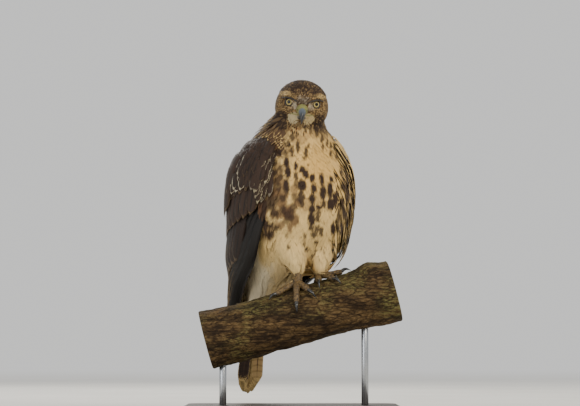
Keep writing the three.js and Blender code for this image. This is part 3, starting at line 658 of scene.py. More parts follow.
def spotted(points, chance, colour):
    """Colours of feathers with the breast's drops and blotches on them, a little astray on each feather"""
    n, count = points.shape[:2]
    flat = points.reshape(-1, 3)
    px, py = photo_place(flat)
    px = px + np.repeat(1.1 * (chance - 0.5), count)
    py = py + np.repeat(2.0 * (7 * chance % 1 - 0.5), count)
    phi, z = around(flat)
    front = smooth(112, 98, np.abs(phi)) * smooth(452, 444, z)
    brown = mix(COLOUR["brown"], COLOUR["rufous"], 0.2)
    colour = tint(colour.reshape(-1, 3), brown, front * inside(px, py, BLOTCHES))
    return tint(colour, COLOUR["umber"], front * inside(px, py, DROPS, 1.15)).reshape(n, count, 3)


def lie(points):
    """The way that feathers lie, before it is laid on the skin"""
    z = points[:, 2]
    head = bird_to_head(points)
    bill = np.array([0.0, -46.0, -6.0])
    from_bill = head - bill
    from_bill[:, 1] *= 1.3
    from_bill[:, 2] -= 6 * smooth(-8, -20, head[:, 2])
    face = unit(from_bill) @ HEAD.T
    down = np.stack([
        0.10 * np.sign(points[:, 0]) * smooth(330, 400, z) - 0.0012 * points[:, 0] * smooth(330, 250, z),
        0.12 + 0.42 * smooth(290, 225, z),
        -np.ones(len(z)),
    ], -1)
    share = smooth(444, 468, z)[:, None]
    return unit(mix(down, face, share))


# Feathers as thin closed vanes

def vane_faces(rows, cols):
    top = np.arange(rows * cols).reshape(rows, cols)
    bottom = top.copy()
    bottom[1:-1, 1:-1] = rows * cols + np.arange((rows - 2) * (cols - 2)).reshape(rows - 2, cols - 2)

    def quads(grid, flip):
        a, b, c, d = grid[:-1, :-1], grid[:-1, 1:], grid[1:, 1:], grid[1:, :-1]
        order = [a, d, c, b] if flip else [a, b, c, d]
        return np.stack([q.ravel() for q in order], -1)

    return np.concatenate([quads(top, False), quads(bottom, True)])


def both_sides(top, bottom):
    """Values over the upper side of each vane, then over its lower side inside the rim that they share"""
    n, size = len(top), top.shape[-1]
    inner = bottom[:, 1:-1, 1:-1]
    return np.concatenate([top.reshape(n, -1, size), inner.reshape(n, -1, size)], 1)


def vane_points(centre, side, up, half, thick, camber, cols, ragged):
    """Points of vanes that are bowed across the shaft, and swept and torn at the end"""
    n, rows = centre.shape[:2]
    across = np.linspace(-1, 1, cols)
    along = np.linspace(0, 1, rows)
    bow = np.abs(across) ** 2
    reach = half[:, :, None] * across
    sag = camber * bow * half[:, :, None]
    sheet = centre[:, :, None] + side[:, :, None] * reach[..., None] - up[:, :, None] * sag[..., None]
    span = unit(np.gradient(centre, axis=1))
    widest = half.max(1)[:, None, None]
    torn = ragged * (rng.random((n, 1, cols)) - 0.6) * smooth(0.55, 1.0, along)[None, :, None]
    swept = -0.3 * bow[None, None] * smooth(0.4, 1, along)[None, :, None]
    sheet = sheet + span[:, :, None] * ((torn + swept) * widest)[..., None]
    rise = np.broadcast_to(up[:, :, None] * (thick / 2), sheet.shape).copy()
    rise[:, 0] = rise[:, -1] = 0
    rise[:, :, 0] = rise[:, :, -1] = 0
    return both_sides(sheet + rise, sheet - rise)


def quad_mesh(name, points, corners):
    """A smooth mesh from points in metres and the corners of its four-sided faces, face by face"""
    mesh = bpy.data.meshes.new(name)
    mesh.vertices.add(len(points))
    mesh.vertices.foreach_set("co", points.astype(np.float32).ravel())
    mesh.loops.add(len(corners))
    mesh.loops.foreach_set("vertex_index", corners.astype(np.int32))
    mesh.polygons.add(len(corners) // 4)
    mesh.polygons.foreach_set("loop_start", np.arange(0, len(corners), 4, dtype=np.int32))
    mesh.update(calc_edges=True)
    mesh.shade_smooth()
    return mesh


def paint_vanes(piece, points, looks, s, t, stain):
    """Keeps each point's place on its vane, and the vane's shape of marks and colours"""
    n, count = points.shape[:2]

    def each(value):
        return np.repeat(np.asarray(value)[:, None], count, 1)

    place = [np.broadcast_to(s, (n, count)), np.broadcast_to(t, (n, count)), each(looks["rand"])]
    store(piece, "vane", np.stack(place, -1), "FLOAT_VECTOR")
    shape = [each(looks[key]) for key in ("width", "rim", "bars")]
    store(piece, "shape", np.stack(shape, -1), "FLOAT_VECTOR")
    for label in ("ground", "mark", "edge"):
        colour = each(looks[label])
        if stain and label != "mark":
            colour = stain(points, looks["rand"], colour)
        store_colour(piece, label, colour)


def make_vanes(name, centre, side, up, half, looks, patch, thick, camber, ragged, cols=5, mirrored=False,
               patch_size=0.003, under=None, stain=None):
    """One piece of many feathers: rows along each shaft in the bird's frame, with half widths in
    millimetres. looks holds the plumage of each feather and patch its place on the unwrapped skin. Where
    the normals of the skin under them are given, the shading leans on these, as down does. stain changes
    the colours."""
    n, rows = centre.shape[:2]
    points = vane_points(centre, side, up, half, thick, camber, cols, ragged)
    template = vane_faces(rows, cols)
    if mirrored:
        points = points * MIRROR
    else:
        template = template[:, ::-1]
    count = points.shape[1]
    corners = (template[None] + (np.arange(n) * count)[:, None, None]).reshape(-1)
    mesh = quad_mesh(name, to_world(points.reshape(-1, 3)), corners)
    across, along = np.meshgrid(np.linspace(-1, 1, cols), np.linspace(0, 1, rows))
    if under is not None:
        soft = unit(mix(up, under, 0.75))[:, :, None] + 0.16 * side[:, :, None] * across[..., None]
        soft = unit(both_sides(soft, -soft).reshape(-1, 3) @ TURN.T)
        mesh.normals_split_custom_set_from_vertices(soft.tolist())
    piece = linked(name, mesh)
    grid = np.stack([across, along], -1)[None]
    s, t = both_sides(grid, grid)[0].T
    paint_vanes(piece, points, looks, s, t, stain)
    uv = patch[:, None] + np.stack([s * 0.5, t - 0.5], -1)[None] * np.asarray(patch_size)
    layer = mesh.uv_layers.new(name="OFBake")
    layer.data.foreach_set("uv", uv.reshape(-1, 2)[corners].astype(np.float32).ravel())
    return piece


# Half width of a body feather from root to tip, as shares of its widest
BODY_OUTLINE = np.array([0.35, 0.78, 0.98, 1.0, 0.86, 0.58, 0.2])


def unwrapped(points):
    """Places of skin points on an unwrap of the body: round it, and up it"""
    phi, z = around(points)
    return np.stack([0.5 + phi / 372, 0.03 + 0.94 * (z - 140) / 390], -1)


def mesh_tables(piece):
    """Points and normals of a mesh in the bird's frame, and its triangles"""
    mesh = piece.data
    mesh.calc_loop_triangles()
    normals = np.empty(len(mesh.vertices) * 3, np.float32)
    mesh.vertex_normals.foreach_get("vector", normals)
    tris = np.empty(len(mesh.loop_triangles) * 3, np.int32)
    mesh.loop_triangles.foreach_get("vertices", tris)
    return mesh_points(piece), normals.reshape(-1, 3).astype(float) @ TURN, tris.reshape(-1, 3)


def apart(points, gaps):
    """Which points to keep so that each is its gap from those kept before it, summed over three axes"""
    cell = gaps.max()
    cells, chosen = {}, []
    for i, (p, gap) in enumerate(zip(points, gaps)):
        x, y, z = (p // cell).astype(int)
        near = (
            j for dx in (-1, 0, 1) for dy in (-1, 0, 1) for dz in (-1, 0, 1)
            for j in cells.get((x + dx, y + dy, z + dz), ())
        )
        if all(abs(points[j][0] - p[0]) + abs(points[j][1] - p[1]) + abs(points[j][2] - p[2]) > gap * 1.25
               for j in near):
            cells.setdefault((x, y, z), []).append(i)
            chosen.append(i)
    return chosen


def scattered(piece, spacing, tries, keep):
    """Points spread evenly over a mesh, with its normals there. spacing gives the distance wanted."""
    verts, normals, tris = mesh_tables(piece)
    a, b, c = verts[tris[:, 0]], verts[tris[:, 1]], verts[tris[:, 2]]
    area = np.linalg.norm(np.cross(b - a, c - a), axis=1)
    weight = area / np.maximum(spacing((a + b + c) / 3), 0.5) ** 2
    picked = tris[rng.choice(len(tris), tries, p=weight / weight.sum())]
    u, v = rng.random((2, tries, 1))
    over = u + v > 1
    u, v = np.where(over, 1 - u, u), np.where(over, 1 - v, v)

    def at_places(field):
        return field[picked[:, 0]] * (1 - u - v) + field[picked[:, 1]] * u + field[picked[:, 2]] * v

    points, ups = at_places(verts), unit(at_places(normals))
    fit = keep(points)
    points, ups = points[fit], ups[fit]
    chosen = apart(points, spacing(points))
    return points[chosen], ups[chosen]


def laid(ways, normals):
    """Directions laid flat on a surface"""
    return unit(ways - normals * np.sum(ways * normals, -1, keepdims=True))


def follow(points, up, along, step, rows):
    """Lines that run over the skin from points, with its normals and their directions, row by row"""
    at, normal, way = points, up, along
    lines = [(at, normal, way)]
    for _ in range(rows - 1):
        ahead = at + way * step[:, None]
        found = [SKIN_TREE.find_nearest(p) for p in ahead.tolist()]
        near = np.array([hit[0] for hit in found])
        facing = np.array([hit[1] for hit in found])
        share = smooth(6, 3, np.linalg.norm(ahead - near, axis=1))[:, None]
        at = mix(ahead, near, share)
        normal = unit(mix(normal, facing, share * 0.7))
        way = laid(way, normal)
        lines.append((at, normal, way))
    return [np.stack(row, 1) for row in zip(*lines)]


def body_feathers(name, points, ups, slot, **changed):
    """Contour feathers rooted at points of the skin, lying along the body"""
    looks = {**plumage(points), **changed}
    n, rows = len(points), len(BODY_OUTLINE)
    along = laid(lie(points), ups)
    along = unit(along + np.cross(along, ups) * (0.16 * (rng.random((n, 1)) - 0.5)))
    length = looks["length"] * (0.88 + 0.24 * rng.random(n))
    half = looks["wide"] / 2 * (0.88 + 0.24 * rng.random(n))
    streak(looks, points + along * (0.62 * length)[:, None])
    tilt = np.radians(looks["lift"] + 2 * rng.random(n))[:, None]
    rise = np.linspace(0, 1, rows) * length[:, None] * np.tan(tilt) - 0.8
    lines, normals, ways = follow(points, ups, along, length / (rows - 1), rows)
    side = unit(np.cross(normals, ways))
    leaning = unit(normals - ways * np.tan(tilt)[..., None])
    piece = make_vanes(
        name, lines + normals * rise[..., None], side, leaning, half[:, None] * BODY_OUTLINE, looks,
        unwrapped(points), thick=0.25, camber=0.1, ragged=0.5, under=normals, stain=spotted,
    )
    return ride(piece, slot, PLUMAGE)


# Materials

class Graph:
    """A short way to write shader nodes"""

    def __init__(self, name):
        self.material = bpy.data.materials.new(name)
        self.material.use_nodes = True
        self.nodes = self.material.node_tree.nodes
        self.links = self.material.node_tree.links
        self.shader = self.nodes["Principled BSDF"]

    def put(self, socket, value):
        if isinstance(value, bpy.types.NodeSocket):
            self.links.new(value, socket)
        elif isinstance(value, (int, float)):
            socket.default_value = value
        else:
            value = tuple(value)
            socket.default_value = value + (1.0,) if len(value) == 3 and socket.type == "RGBA" else value

    def node(self, kind, inputs=(), **settings):
        node = self.nodes.new(kind)
        for key, value in settings.items():
            setattr(node, key, value)
        for key, value in dict(inputs).items():
            self.put(node.inputs[key], value)
        return node

    def math(self, operation, *values):
        return self.node("ShaderNodeMath", enumerate(values), operation=operation).outputs[0]

    def ramp(self, value, low, high, out_low=0.0, out_high=1.0):
        return self.node("ShaderNodeMapRange", [
            ("Value", value), ("From Min", low), ("From Max", high),
            ("To Min", out_low), ("To Max", out_high),
        ], interpolation_type="SMOOTHSTEP").outputs["Result"]

    def mix(self, share, a, b, how="MIX"):
        node = self.node("ShaderNodeMix", data_type="RGBA", blend_type=how)
        self.put(node.inputs["Factor"], share)
        self.put(node.inputs[6], a)
        self.put(node.inputs[7], b)
        return node.outputs[2]

    def times(self, colour, shade):
        return self.mix(1.0, colour, shade, "MULTIPLY")

    def attribute(self, name, output="Vector"):
        return self.node("ShaderNodeAttribute", attribute_name=name).outputs[output]

    def split(self, vector):
        return self.node("ShaderNodeSeparateXYZ", [("Vector", vector)]).outputs

    def place(self, stretch=(1, 1, 1)):
        where = self.node("ShaderNodeTexCoord").outputs["Object"]
        return self.node("ShaderNodeMapping", [("Vector", where), ("Scale", stretch)]).outputs["Vector"]

    def noise(self, scale, detail=3.0, rough=0.55, where=None):
        return self.node("ShaderNodeTexNoise", [
            ("Vector", where or self.place()), ("Scale", scale), ("Detail", detail), ("Roughness", rough),
        ]).outputs["Fac"]

    def bump(self, height, depth, strength=1.0):
        inputs = [("Height", height), ("Distance", depth), ("Strength", strength)]
        return self.node("ShaderNodeBump", inputs).outputs["Normal"]

    def finish(self, **inputs):
        for key, value in inputs.items():
            self.put(self.shader.inputs[key.replace("_", " ")], value)
        return self.material


def feather_material(name, roughness=0.75, barbs=34.0, vary=0.08):
    """Vanes with a mark down the middle, a pale edge, bars, barbs and a shaft, each as wide as stored"""
    g = Graph(name)
    s, t, chance = g.split(g.attribute("vane"))[:3]
    width, rim, bars = g.split(g.attribute("shape"))[:3]
    off = g.math("ABSOLUTE", s)
    grain = g.noise(900.0)
    loose = g.math("SUBTRACT", grain, 0.5)
    end = g.math("MULTIPLY_ADD", width, 0.3, 0.82)
    grow = g.math("MULTIPLY", g.ramp(t, 0.3, 0.68), g.ramp(g.math("SUBTRACT", end, t), -0.1, 0.1))
    within = g.math("SUBTRACT", g.math("MULTIPLY", width, grow), off)
    within = g.math("MULTIPLY_ADD", loose, 0.25, within)
    marked = g.math("MULTIPLY", g.ramp(within, -0.08, 0.1), g.ramp(width, 0.0, 0.05))
    out = g.math("MAXIMUM", g.math("MULTIPLY", off, g.ramp(t, 0.25, 0.8, 0.6, 1.0)), g.ramp(t, 0.68, 1.0))
    reach = g.math("ADD", g.math("ADD", out, rim), g.math("MULTIPLY", loose, 0.7))
    edged = g.math("MULTIPLY", g.ramp(reach, 0.94, 1.08), g.ramp(rim, 0.0, 0.05))
    wave = g.math("SINE", g.math("ADD", g.math("MULTIPLY", t, 90.0), g.math("MULTIPLY", off, -2.4)))
    barred = g.math("MULTIPLY", g.ramp(g.math("MULTIPLY_ADD", loose, 0.8, wave), 0.3, 0.75), bars)
    colour = g.mix(marked, g.attribute("ground", "Color"), g.attribute("mark", "Color"))
    colour = g.mix(edged, colour, g.attribute("edge", "Color"))
    colour = g.mix(barred, colour, g.times(colour, (0.28, 0.24, 0.2)))
    barb = g.math("ADD", g.math("MULTIPLY", t, 6.2832 * barbs), g.math("MULTIPLY", off, -14.0))
    lines = g.math("SINE", barb)
    shaft = g.ramp(off, 0.07, 0.03)
    shade = g.math("MULTIPLY_ADD", lines, 0.05, g.math("MULTIPLY_ADD", chance, vary, 1 - vary / 2))
    shade = g.math("MULTIPLY", shade, g.ramp(shaft, 0.0, 1.0, 1.0, 0.86))
    shade = g.math("MULTIPLY", shade, g.ramp(grain, 0.2, 0.8, 0.9, 1.1))
    grey = g.node("ShaderNodeCombineColor", [("Red", shade), ("Green", shade), ("Blue", shade)]).outputs[0]
    colour = g.times(colour, grey)
    height = g.math("ADD", g.math("MULTIPLY", lines, 0.4), g.math("MULTIPLY", shaft, 1.2))
    return g.finish(
        Base_Color=colour, Roughness=roughness, Normal=g.bump(height, 0.0002, 0.6), Specular_IOR_Level=0.25,
    )


def skin_material():
    g = Graph("plumage_under")
    grain = g.noise(260.0, 4.0)
    share = g.ramp(grain, 0.3, 0.7, 0.0, 0.5)
    colour = g.mix(share, g.attribute("ground", "Color"), g.attribute("mark", "Color"))
    return g.finish(
        Base_Color=colour, Roughness=0.9, Normal=g.bump(grain, 0.001, 0.5), Specular_IOR_Level=0.15,
    )


def horn_material(name, colour, tip, low, high, roughness=0.28):
    """Horn whose colour runs from one to another along the stored place"""
    g = Graph(name)
    run = g.attribute("run", "Fac")
    grain = g.noise(420.0, 4.0, where=g.place((1, 1, 4)))
    share = g.ramp(g.math("MULTIPLY_ADD", g.math("SUBTRACT", grain, 0.5), 0.2, run), low, high)
    base = g.mix(share, colour, tip)
    base = g.mix(g.ramp(grain, 0.35, 0.7, 0.0, 0.3), base, g.times(base, (0.5, 0.5, 0.5)))
    return g.finish(
        Base_Color=base, Roughness=roughness, Normal=g.bump(grain, 0.00015, 0.4), Coat_Weight=0.25,
    )


def waxy_material(name, colour, shade, scale, depth, roughness=0.5):
    """Bare skin of small rounded cells"""
    g = Graph(name)
    cell = g.node("ShaderNodeTexVoronoi", [("Vector", g.place()), ("Scale", scale)], feature="F1")
    cells = cell.outputs["Distance"]
    grain = g.noise(scale * 0.8, 4.0)
    share = g.math("MULTIPLY", g.ramp(cells, 0.1, 0.8), 0.8)
    base = g.mix(g.math("ADD", share, g.ramp(grain, 0.45, 0.8, 0.0, 0.4)), colour, shade)
    return g.finish(
        Base_Color=base, Roughness=roughness, Normal=g.bump(cells, depth, 0.7), Specular_IOR_Level=0.4,
    )


def eye_material():
    g = Graph("eye_glass")
    run = g.attribute("run", "Fac")
    fibre = g.noise(2600.0, 5.0)
    iris = g.mix(g.ramp(fibre, 0.35, 0.7), linear(0xBDAA6C), linear(0x88743A))
    iris = g.mix(g.ramp(run, 3.8, 4.9), iris, linear(0x5E4D26))
    colour = g.mix(g.ramp(run, 2.7, 2.9), linear(0x010101), iris)
    colour = g.mix(g.ramp(run, 4.9, 5.3), colour, linear(0x0A0806))
    return g.finish(Base_Color=colour, Roughness=0.08, Specular_IOR_Level=0.3)


def bark_material():
    g = Graph("bark")
    long_way = g.place((0.3, 1.5, 1.2))
    rough = g.noise(52.0, 8.0, 0.7, long_way)
    fine = g.noise(330.0, 6.0, 0.75, g.place((0.5, 1.2, 1.0)))
    cracks = g.node("ShaderNodeTexVoronoi", [
        ("Vector", long_way), ("Scale", 150.0), ("Randomness", 1.0),
    ], feature="DISTANCE_TO_EDGE").outputs["Distance"]
    gap = g.ramp(g.math("MULTIPLY_ADD", g.math("SUBTRACT", rough, 0.5), 0.5, cracks), 0.0, 0.16)
    # The bark's colour follows its bump: darker where it is lower and near-black in the fissures, partly
    # its own colour and partly painted shade in the hollows
    colour = g.mix(g.ramp(rough, 0.36, 0.64), linear(0x33261A), linear(0x6A5538))
    colour = g.mix(g.ramp(fine, 0.38, 0.62), g.times(colour, (0.45, 0.42, 0.38)), colour)
    moss = g.math("MULTIPLY", g.ramp(g.noise(11.0, 5.0), 0.44, 0.62), g.ramp(fine, 0.42, 0.62))
    colour = g.mix(g.math("MULTIPLY", moss, 0.7), colour, linear(0x6B6A3C))
    # Near-black fissures: partly the bark's darker inside, partly painted shade
    colour = g.mix(g.ramp(gap, 0.0, 1.0, 0.65, 0.0), colour, linear(0x1D150E))
    rough_height = g.math("ADD", rough, g.math("MULTIPLY", fine, 0.7))
    height = g.math("ADD", g.math("MULTIPLY", gap, 0.6), rough_height)
    end = g.attribute("sawn", "Fac")
    where = g.attribute("ring", "Fac")
    rings = g.math("SINE", g.math("MULTIPLY_ADD", g.noise(16.0, 4.0), 9.0, g.math("MULTIPLY", where, 88.0)))
    wood = g.mix(g.ramp(rings, -0.6, 0.9), linear(0x9A8360), linear(0x85704F))
    wood = g.mix(g.ramp(where, 0.9, 0.94), wood, linear(0x4A351F))
    colour = g.mix(end, colour, wood)
    depth = g.math("MULTIPLY", height, g.math("SUBTRACT", 1.0, g.math("MULTIPLY", end, 0.8)))
    return g.finish(
        Base_Color=colour, Roughness=0.9, Normal=g.bump(depth, 0.0016, 0.9), Specular_IOR_Level=0.15,
    )


def wood_material():
    g = Graph("stand_wood")
    grain = g.noise(16.0, 5.0, 0.6, g.place((1, 14, 14)))
    fine = g.noise(120.0, 3.0, 0.6, g.place((1, 9, 9)))
    colour = g.mix(g.ramp(grain, 0.3, 0.7), linear(0x1E1511), linear(0x3A281D))
    return g.finish(
        Base_Color=colour, Roughness=g.ramp(fine, 0.3, 0.7, 0.48, 0.6), Normal=g.bump(fine, 0.00012, 0.5),
        Specular_IOR_Level=0.3,
    )


def steel_material():
    g = Graph("stand_steel")
    brushed = g.noise(180.0, 3.0, 0.6, g.place((14, 14, 1)))
    colour = g.mix(brushed, linear(0x8F9296), linear(0xB9BCC0))
    return g.finish(
        Base_Color=colour, Metallic=1.0, Roughness=g.ramp(brushed, 0.3, 0.7, 0.24, 0.36),
        Normal=g.bump(brushed, 0.00006, 0.5),
    )


PLUMAGE = feather_material("plumage")
FLIGHT = feather_material("flight_plumage", roughness=0.6, barbs=90.0, vary=0.2)
SKIN = skin_material()
BILL = horn_material("bill_horn", linear(0x55616D), linear(0x0C0D0F), 0.02, 0.55)
CLAW = horn_material("claw_horn", linear(0x3A3836), linear(0x0B0A0A), 0.0, 0.6, 0.22)
CERE = waxy_material("cere_skin", linear(0x8C8A4C), linear(0x656238), 900.0, 0.0002)
LID = waxy_material("lid_skin", linear(0x2A211B), linear(0x15100C), 1200.0, 0.0002)
FOOT = waxy_material("foot_skin", linear(0x715A34), linear(0x291E13), 380.0, 0.0009, 0.6)
EYE_GLASS = eye_material()
BARK = bark_material()
WOOD = wood_material()
STEEL = steel_material()


# Skin and its coat

def paint_skin(piece):
    """The coat's markings, on the skin under it"""
    points = mesh_points(piece)
    looks = plumage(points)
    ground = spotted(points[:, None], looks["rand"], looks["ground"][:, None])[:, 0]
    store_colour(piece, "ground", ground)
    store_colour(piece, "mark", mix(ground, looks["mark"], 0.5))


skin = make_skin()
paint_skin(skin)
SKIN_TREE = BVHTree.FromPolygons(
    mesh_points(skin).tolist(), [tuple(face.vertices) for face in skin.data.polygons],
)
ride(skin, "breast_plumage", SKIN, "head", "neck", "breast", "belly", "rump", "thigh_left", "thigh_right")

# No feather is rooted this near the middle of an eye, nor lower than this on the rump, in millimetres
EYE_CLEAR = 9.6
LOWEST_ROOT = 182


def bare(points):
    """True where no feather grows: round the eyes and on the cere"""
    x, y, z = bird_to_head(points).T
    eyes = head_to_bird(np.array([[side * EYE["x"], EYE["y"], EYE["z"]] for side in (1, -1)], float))
    near = np.min([np.linalg.norm(points - eye, axis=1) for eye in eyes], axis=0)
    bill = (np.abs(x) < 9.5) & (y < -34) & (z < 5) & (z > -19)
    return (near < EYE_CLEAR) | bill


def covered(points):
    """True where other parts lie over the coat: the feet and branch, and the right wing's front edge"""
    x, y, z = points.T
    phi = around(points)[0]
    over_legs = (z < np.where(x > 0, 224, 236)) & (y < 6)
    low_right = (z < 226) & (y < 50) & (x < 0)
    return over_legs | low_right | ((z < 400) & (phi < -70) & (phi > -104))


def spacing(points):
    looks = plumage(points)
    return mix(0.3, 0.34, smooth(440, 450, points[:, 2])) * np.sqrt(looks["length"] * looks["wide"])


def grow_coat():
    """Body feathers in pieces by region, then the longer ones that hang over the left wing's edge"""
    points, ups = scattered(skin, spacing, COAT_TRIES, lambda p: ~bare(p) & (p[:, 2] > LOWEST_ROOT))
    shown = ~covered(points)
    points, ups = points[shown], ups[shown]
    phi, z = around(points)
    head = z > 448
    front = np.abs(phi) < 90
    zones = {
        "coat_head": (head, "head_plumage"),
        "coat_breast": (~head & front & (z > 300), "breast_plumage"),
        "coat_belly": (~head & front & (z <= 300), "breast_plumage"),
        "coat_back": (~head & ~front, "wing_plumage"),
    }
    for name, (mine, slot) in zones.items():
        order = np.flatnonzero(mine)[np.argsort(phi[mine])]
        for i, part in enumerate(np.array_split(order, math.ceil(len(order) / MOST_FEATHERS))):
            body_feathers(f"{name}_{i + 1}", points[part], ups[part], slot)
    side = (phi > 30) & (phi < 74) & (z > 285) & (z < 405)
    hanging = side & (rng.random(len(z)) < np.where(phi > 50, 0.6, 0.45))
    far = smooth(40, 60, phi[hanging])
    body_feathers("coat_flank", points[hanging], ups[hanging], "breast_plumage",
                  length=46 + 12 * far, wide=11, lift=8 + 5 * far)


grow_coat()


# Folded wings, each laid on a curved sheet. Its places are [across, down], shares from front to back and
# from shoulder to tip. Rows give [down, height], then x and y of the front edge, of the fullest place and
# of the back edge.

WING = through([
    [0.0, 432, 42, -8, 58, 26, 30, 62],
    [0.08, 410, 60, -12, 77, 30, 34, 76],
    [0.18, 378, 75, -17, 87, 45, 34, 86],
    [0.3, 340, 81, -15, 87, 58, 30, 94],
    [0.45, 290, 81, -3, 83, 68, 26, 105],
    [0.58, 245, 75, 16, 76, 86, 24, 118],
    [0.7, 205, 55, 84, 59, 109, 20, 135],
    [0.84, 150, 40, 130, 38, 142, 14, 154],
    [1.0, 84, 27, 163, 25, 168, 8, 173],
])


def wing_place(u, v):
    z, fx, fy, px, py, dx, dy = np.moveaxis(WING(v), -1, 0)
    cx, cy = 2 * px - (fx + dx) / 2, 2 * py - (fy + dy) / 2
    a, b, c = (1 - u) ** 2, 2 * u * (1 - u), u * u
    return np.stack([a * fx + b * cx + c * dx, a * fy + b * cy + c * dy, z], -1)


def wing_normal(u, v):
    step = 0.01
    across = wing_place(u + step, v) - wing_place(u - step, v)
    down = wing_place(u, np.minimum(v + step, 1)) - wing_place(u, np.maximum(v - step, 0))
    return unit(np.cross(down, across))


# Half width of a feather along its length, as shares: [along, width]
LONG_OUTLINE = through([[0, 0.5], [0.3, 0.92], [0.72, 1], [0.9, 0.8], [1, 0.18]])
TAIL_OUTLINE = through([[0, 0.5], [0.3, 0.9], [0.8, 1], [0.95, 0.9], [1, 0.4]])
SHORT_OUTLINE = through([[0, 0.6], [0.5, 1], [0.8, 0.92], [0.93, 0.62], [1, 0.2]])


def wing_looks(n, ground, edge, rim, bars=0.0):
    chance = rng.random((n, 2))
    return {
        "ground": COLOUR[ground] * (0.875 + 0.25 * chance[:, :1]),
        "mark": np.repeat(COLOUR["black"][None], n, 0),
        "edge": np.repeat(COLOUR[edge][None], n, 0) * (0.8 + 0.4 * chance[:, :1]),
        "width": np.full(n, 0.12),
        "rim": rim * (0.7 + 0.6 * chance[:, 1]),
        "bars": np.full(n, bars),
        "rand": chance[:, 0],
    }


def wing_tier(label, tier, root, tip, width, lift, tilt, outline, looks, rows=9, thick=0.5, ragged=0.02,
              sunk=-3.5, stain=None):
    """Feathers of one tier: roots and tips as rows of [across, down] places on the wing sheet"""
    t = np.linspace(0, 1, rows)[None]
    u = root[:, :1] + (tip[:, :1] - root[:, :1]) * t
    v = root[:, 1:] + (tip[:, 1:] - root[:, 1:]) * t
    rise = mix(sunk, np.asarray(lift)[:, None], np.minimum(1, t / 0.3))
    normal = wing_normal(u, v)
    centre = wing_place(u, v) + normal * rise[..., None]
    along = unit(np.gradient(centre, axis=1))
    across = unit(np.cross(normal, along))
    up = np.cross(along, across)
    lean = np.radians(tilt)
    spun = across * math.cos(lean) + up * math.sin(lean)
    up = up * math.cos(lean) - across * math.sin(lean)
    half = np.asarray(width)[:, None] / 2 * outline(t[0])[:, 0][None]
    middle = rows // 2
    patch = np.stack([0.05 + 0.9 * np.clip(u[:, middle], 0, 1), 0.05 + 0.9 * v[:, middle]], -1)
    piece = make_vanes(
        f"wing_{label}_{tier}", centre, spun, up, half, looks, patch, thick=thick, camber=0.12,
        ragged=ragged, mirrored=SIDES[label] < 0, stain=stain,
    )
    return ride(piece, "wing_plumage", FLIGHT)


def row_of(count, first, last):
    share = np.linspace(0, 1, count)[:, None]
    return np.array(first)[None] * (1 - share) + np.array(last)[None] * share


# Pale patches of the wing as soft ellipses on its sheet: across, down, half sizes, and share marked
PALE_TIPS = [(0.27, 0.27, 0.1, 0.09, 0.85), (0.45, 0.37, 0.09, 0.07, 0.8)]


def flecked(looks, tips, anywhere):
    """White edges on the coverts whose tips lie in the pale patches of the wing, and on a few others"""
    share = np.maximum(inside(tips[:, 0], tips[:, 1], PALE_TIPS), anywhere)
    bright = rng.random(len(tips)) < share
    looks["edge"][bright] = COLOUR["white"] * 0.85
    looks["rim"][bright] = 0.2 + 0.12 * rng.random(bright.sum())


def wing_flesh(label):
    """The wing's body under its feathers, down to the roots of the longest"""
    down = np.array([0.0, 0.03, 0.07, 0.12, 0.2, 0.28, 0.36, 0.42, 0.47])
    u, v = np.meshgrid(np.linspace(0, 1, 24), down)
    shut = np.sin(np.pi * np.minimum(1, (np.arange(len(down)) + 0.6) / 3) * 0.5)[:, None]
    shut = shut * np.array([1, 1, 1, 1, 1, 1, 0.9, 0.6, 0.3])[:, None]
    full = np.sin(np.pi * (0.1 + 0.8 * u)) ** 0.5
    normal = wing_normal(u, v)
    outer = wing_place(u, v) + normal * (-8 + 7.5 * shut * full)[..., None]
    inner = wing_place(u, v) - normal * 24
    points, faces = loft(np.concatenate([outer, inner[:, ::-1]], 1))
    if SIDES[label] < 0:
        points = points * MIRROR
    else:
        faces = [face[::-1] for face in faces]
    flesh = build(f"wing_{label}_flesh", points, faces)
    for name, colour in (("ground", "brown"), ("mark", "umber")):
        store_colour(flesh, name, np.tile(COLOUR[colour], (len(points), 1)))
    ride(flesh, "wing_plumage", SKIN, f"wing_{label}")


# Tiers of longer feathers: places of the first and last root and tip on the wing sheet, and the width and
# lift of the first and last feather in millimetres. tilt is in degrees, and droop lets the middle tips
# hang.
TIERS = {
    "primaries": {
        "count": 9, "roots": [(-0.07, 0.33), (0.4, 0.42)], "tips": [(0.13, 0.89), (0.8, 0.8)], "droop": 0.1,
        "width": (20, 22), "lift": (5.5, -6), "tilt": 8, "outline": LONG_OUTLINE, "rows": 14,
        "looks": ("black", "edge", 0.2),
    },
    "secondaries": {
        "count": 12, "roots": [(0.16, 0.38), (0.88, 0.45)], "tips": [(0.22, 0.6), (0.86, 0.77)], "droop": 0,
        "width": (24, 24), "lift": (4.2, 4.8), "tilt": 9, "outline": LONG_OUTLINE, "rows": 12,
        "looks": ("dark", "edge", 0.14, 0.2),
    },
    "greater_coverts": {
        "count": 12, "roots": [(0.04, 0.22), (0.86, 0.36)], "tips": [(0.05, 0.4), (0.88, 0.56)], "droop": 0,
        "width": (22, 24), "lift": (7, 7.6), "tilt": 9, "outline": SHORT_OUTLINE, "rows": 10,
        "looks": ("umber", "edge", 0.1),
    },
    "median_coverts": {
        "count": 12, "roots": [(0.04, 0.14), (0.84, 0.26)], "tips": [(0.05, 0.28), (0.86, 0.41)],
        "droop": 0, "width": (20, 24), "lift": (8.6, 9.4), "tilt": 9, "outline": SHORT_OUTLINE, "rows": 9,
        "looks": ("umber", "edge", 0.12),
    },
}
# Feathers of the breast's side over the wing's front edge: where they lie on the wing sheet, the share that
# are dark, and the share of their rise at the top
SIDE_COAT = {
    "left": {"across": (-0.16, 0.22, 9), "lowest": 0.44, "dark": 0.12, "top": 0.9, "stain": spotted},
    "right": {"across": (-0.05, 0.02, 3), "lowest": 0.2, "dark": 1, "top": 0.4, "stain": None},
}


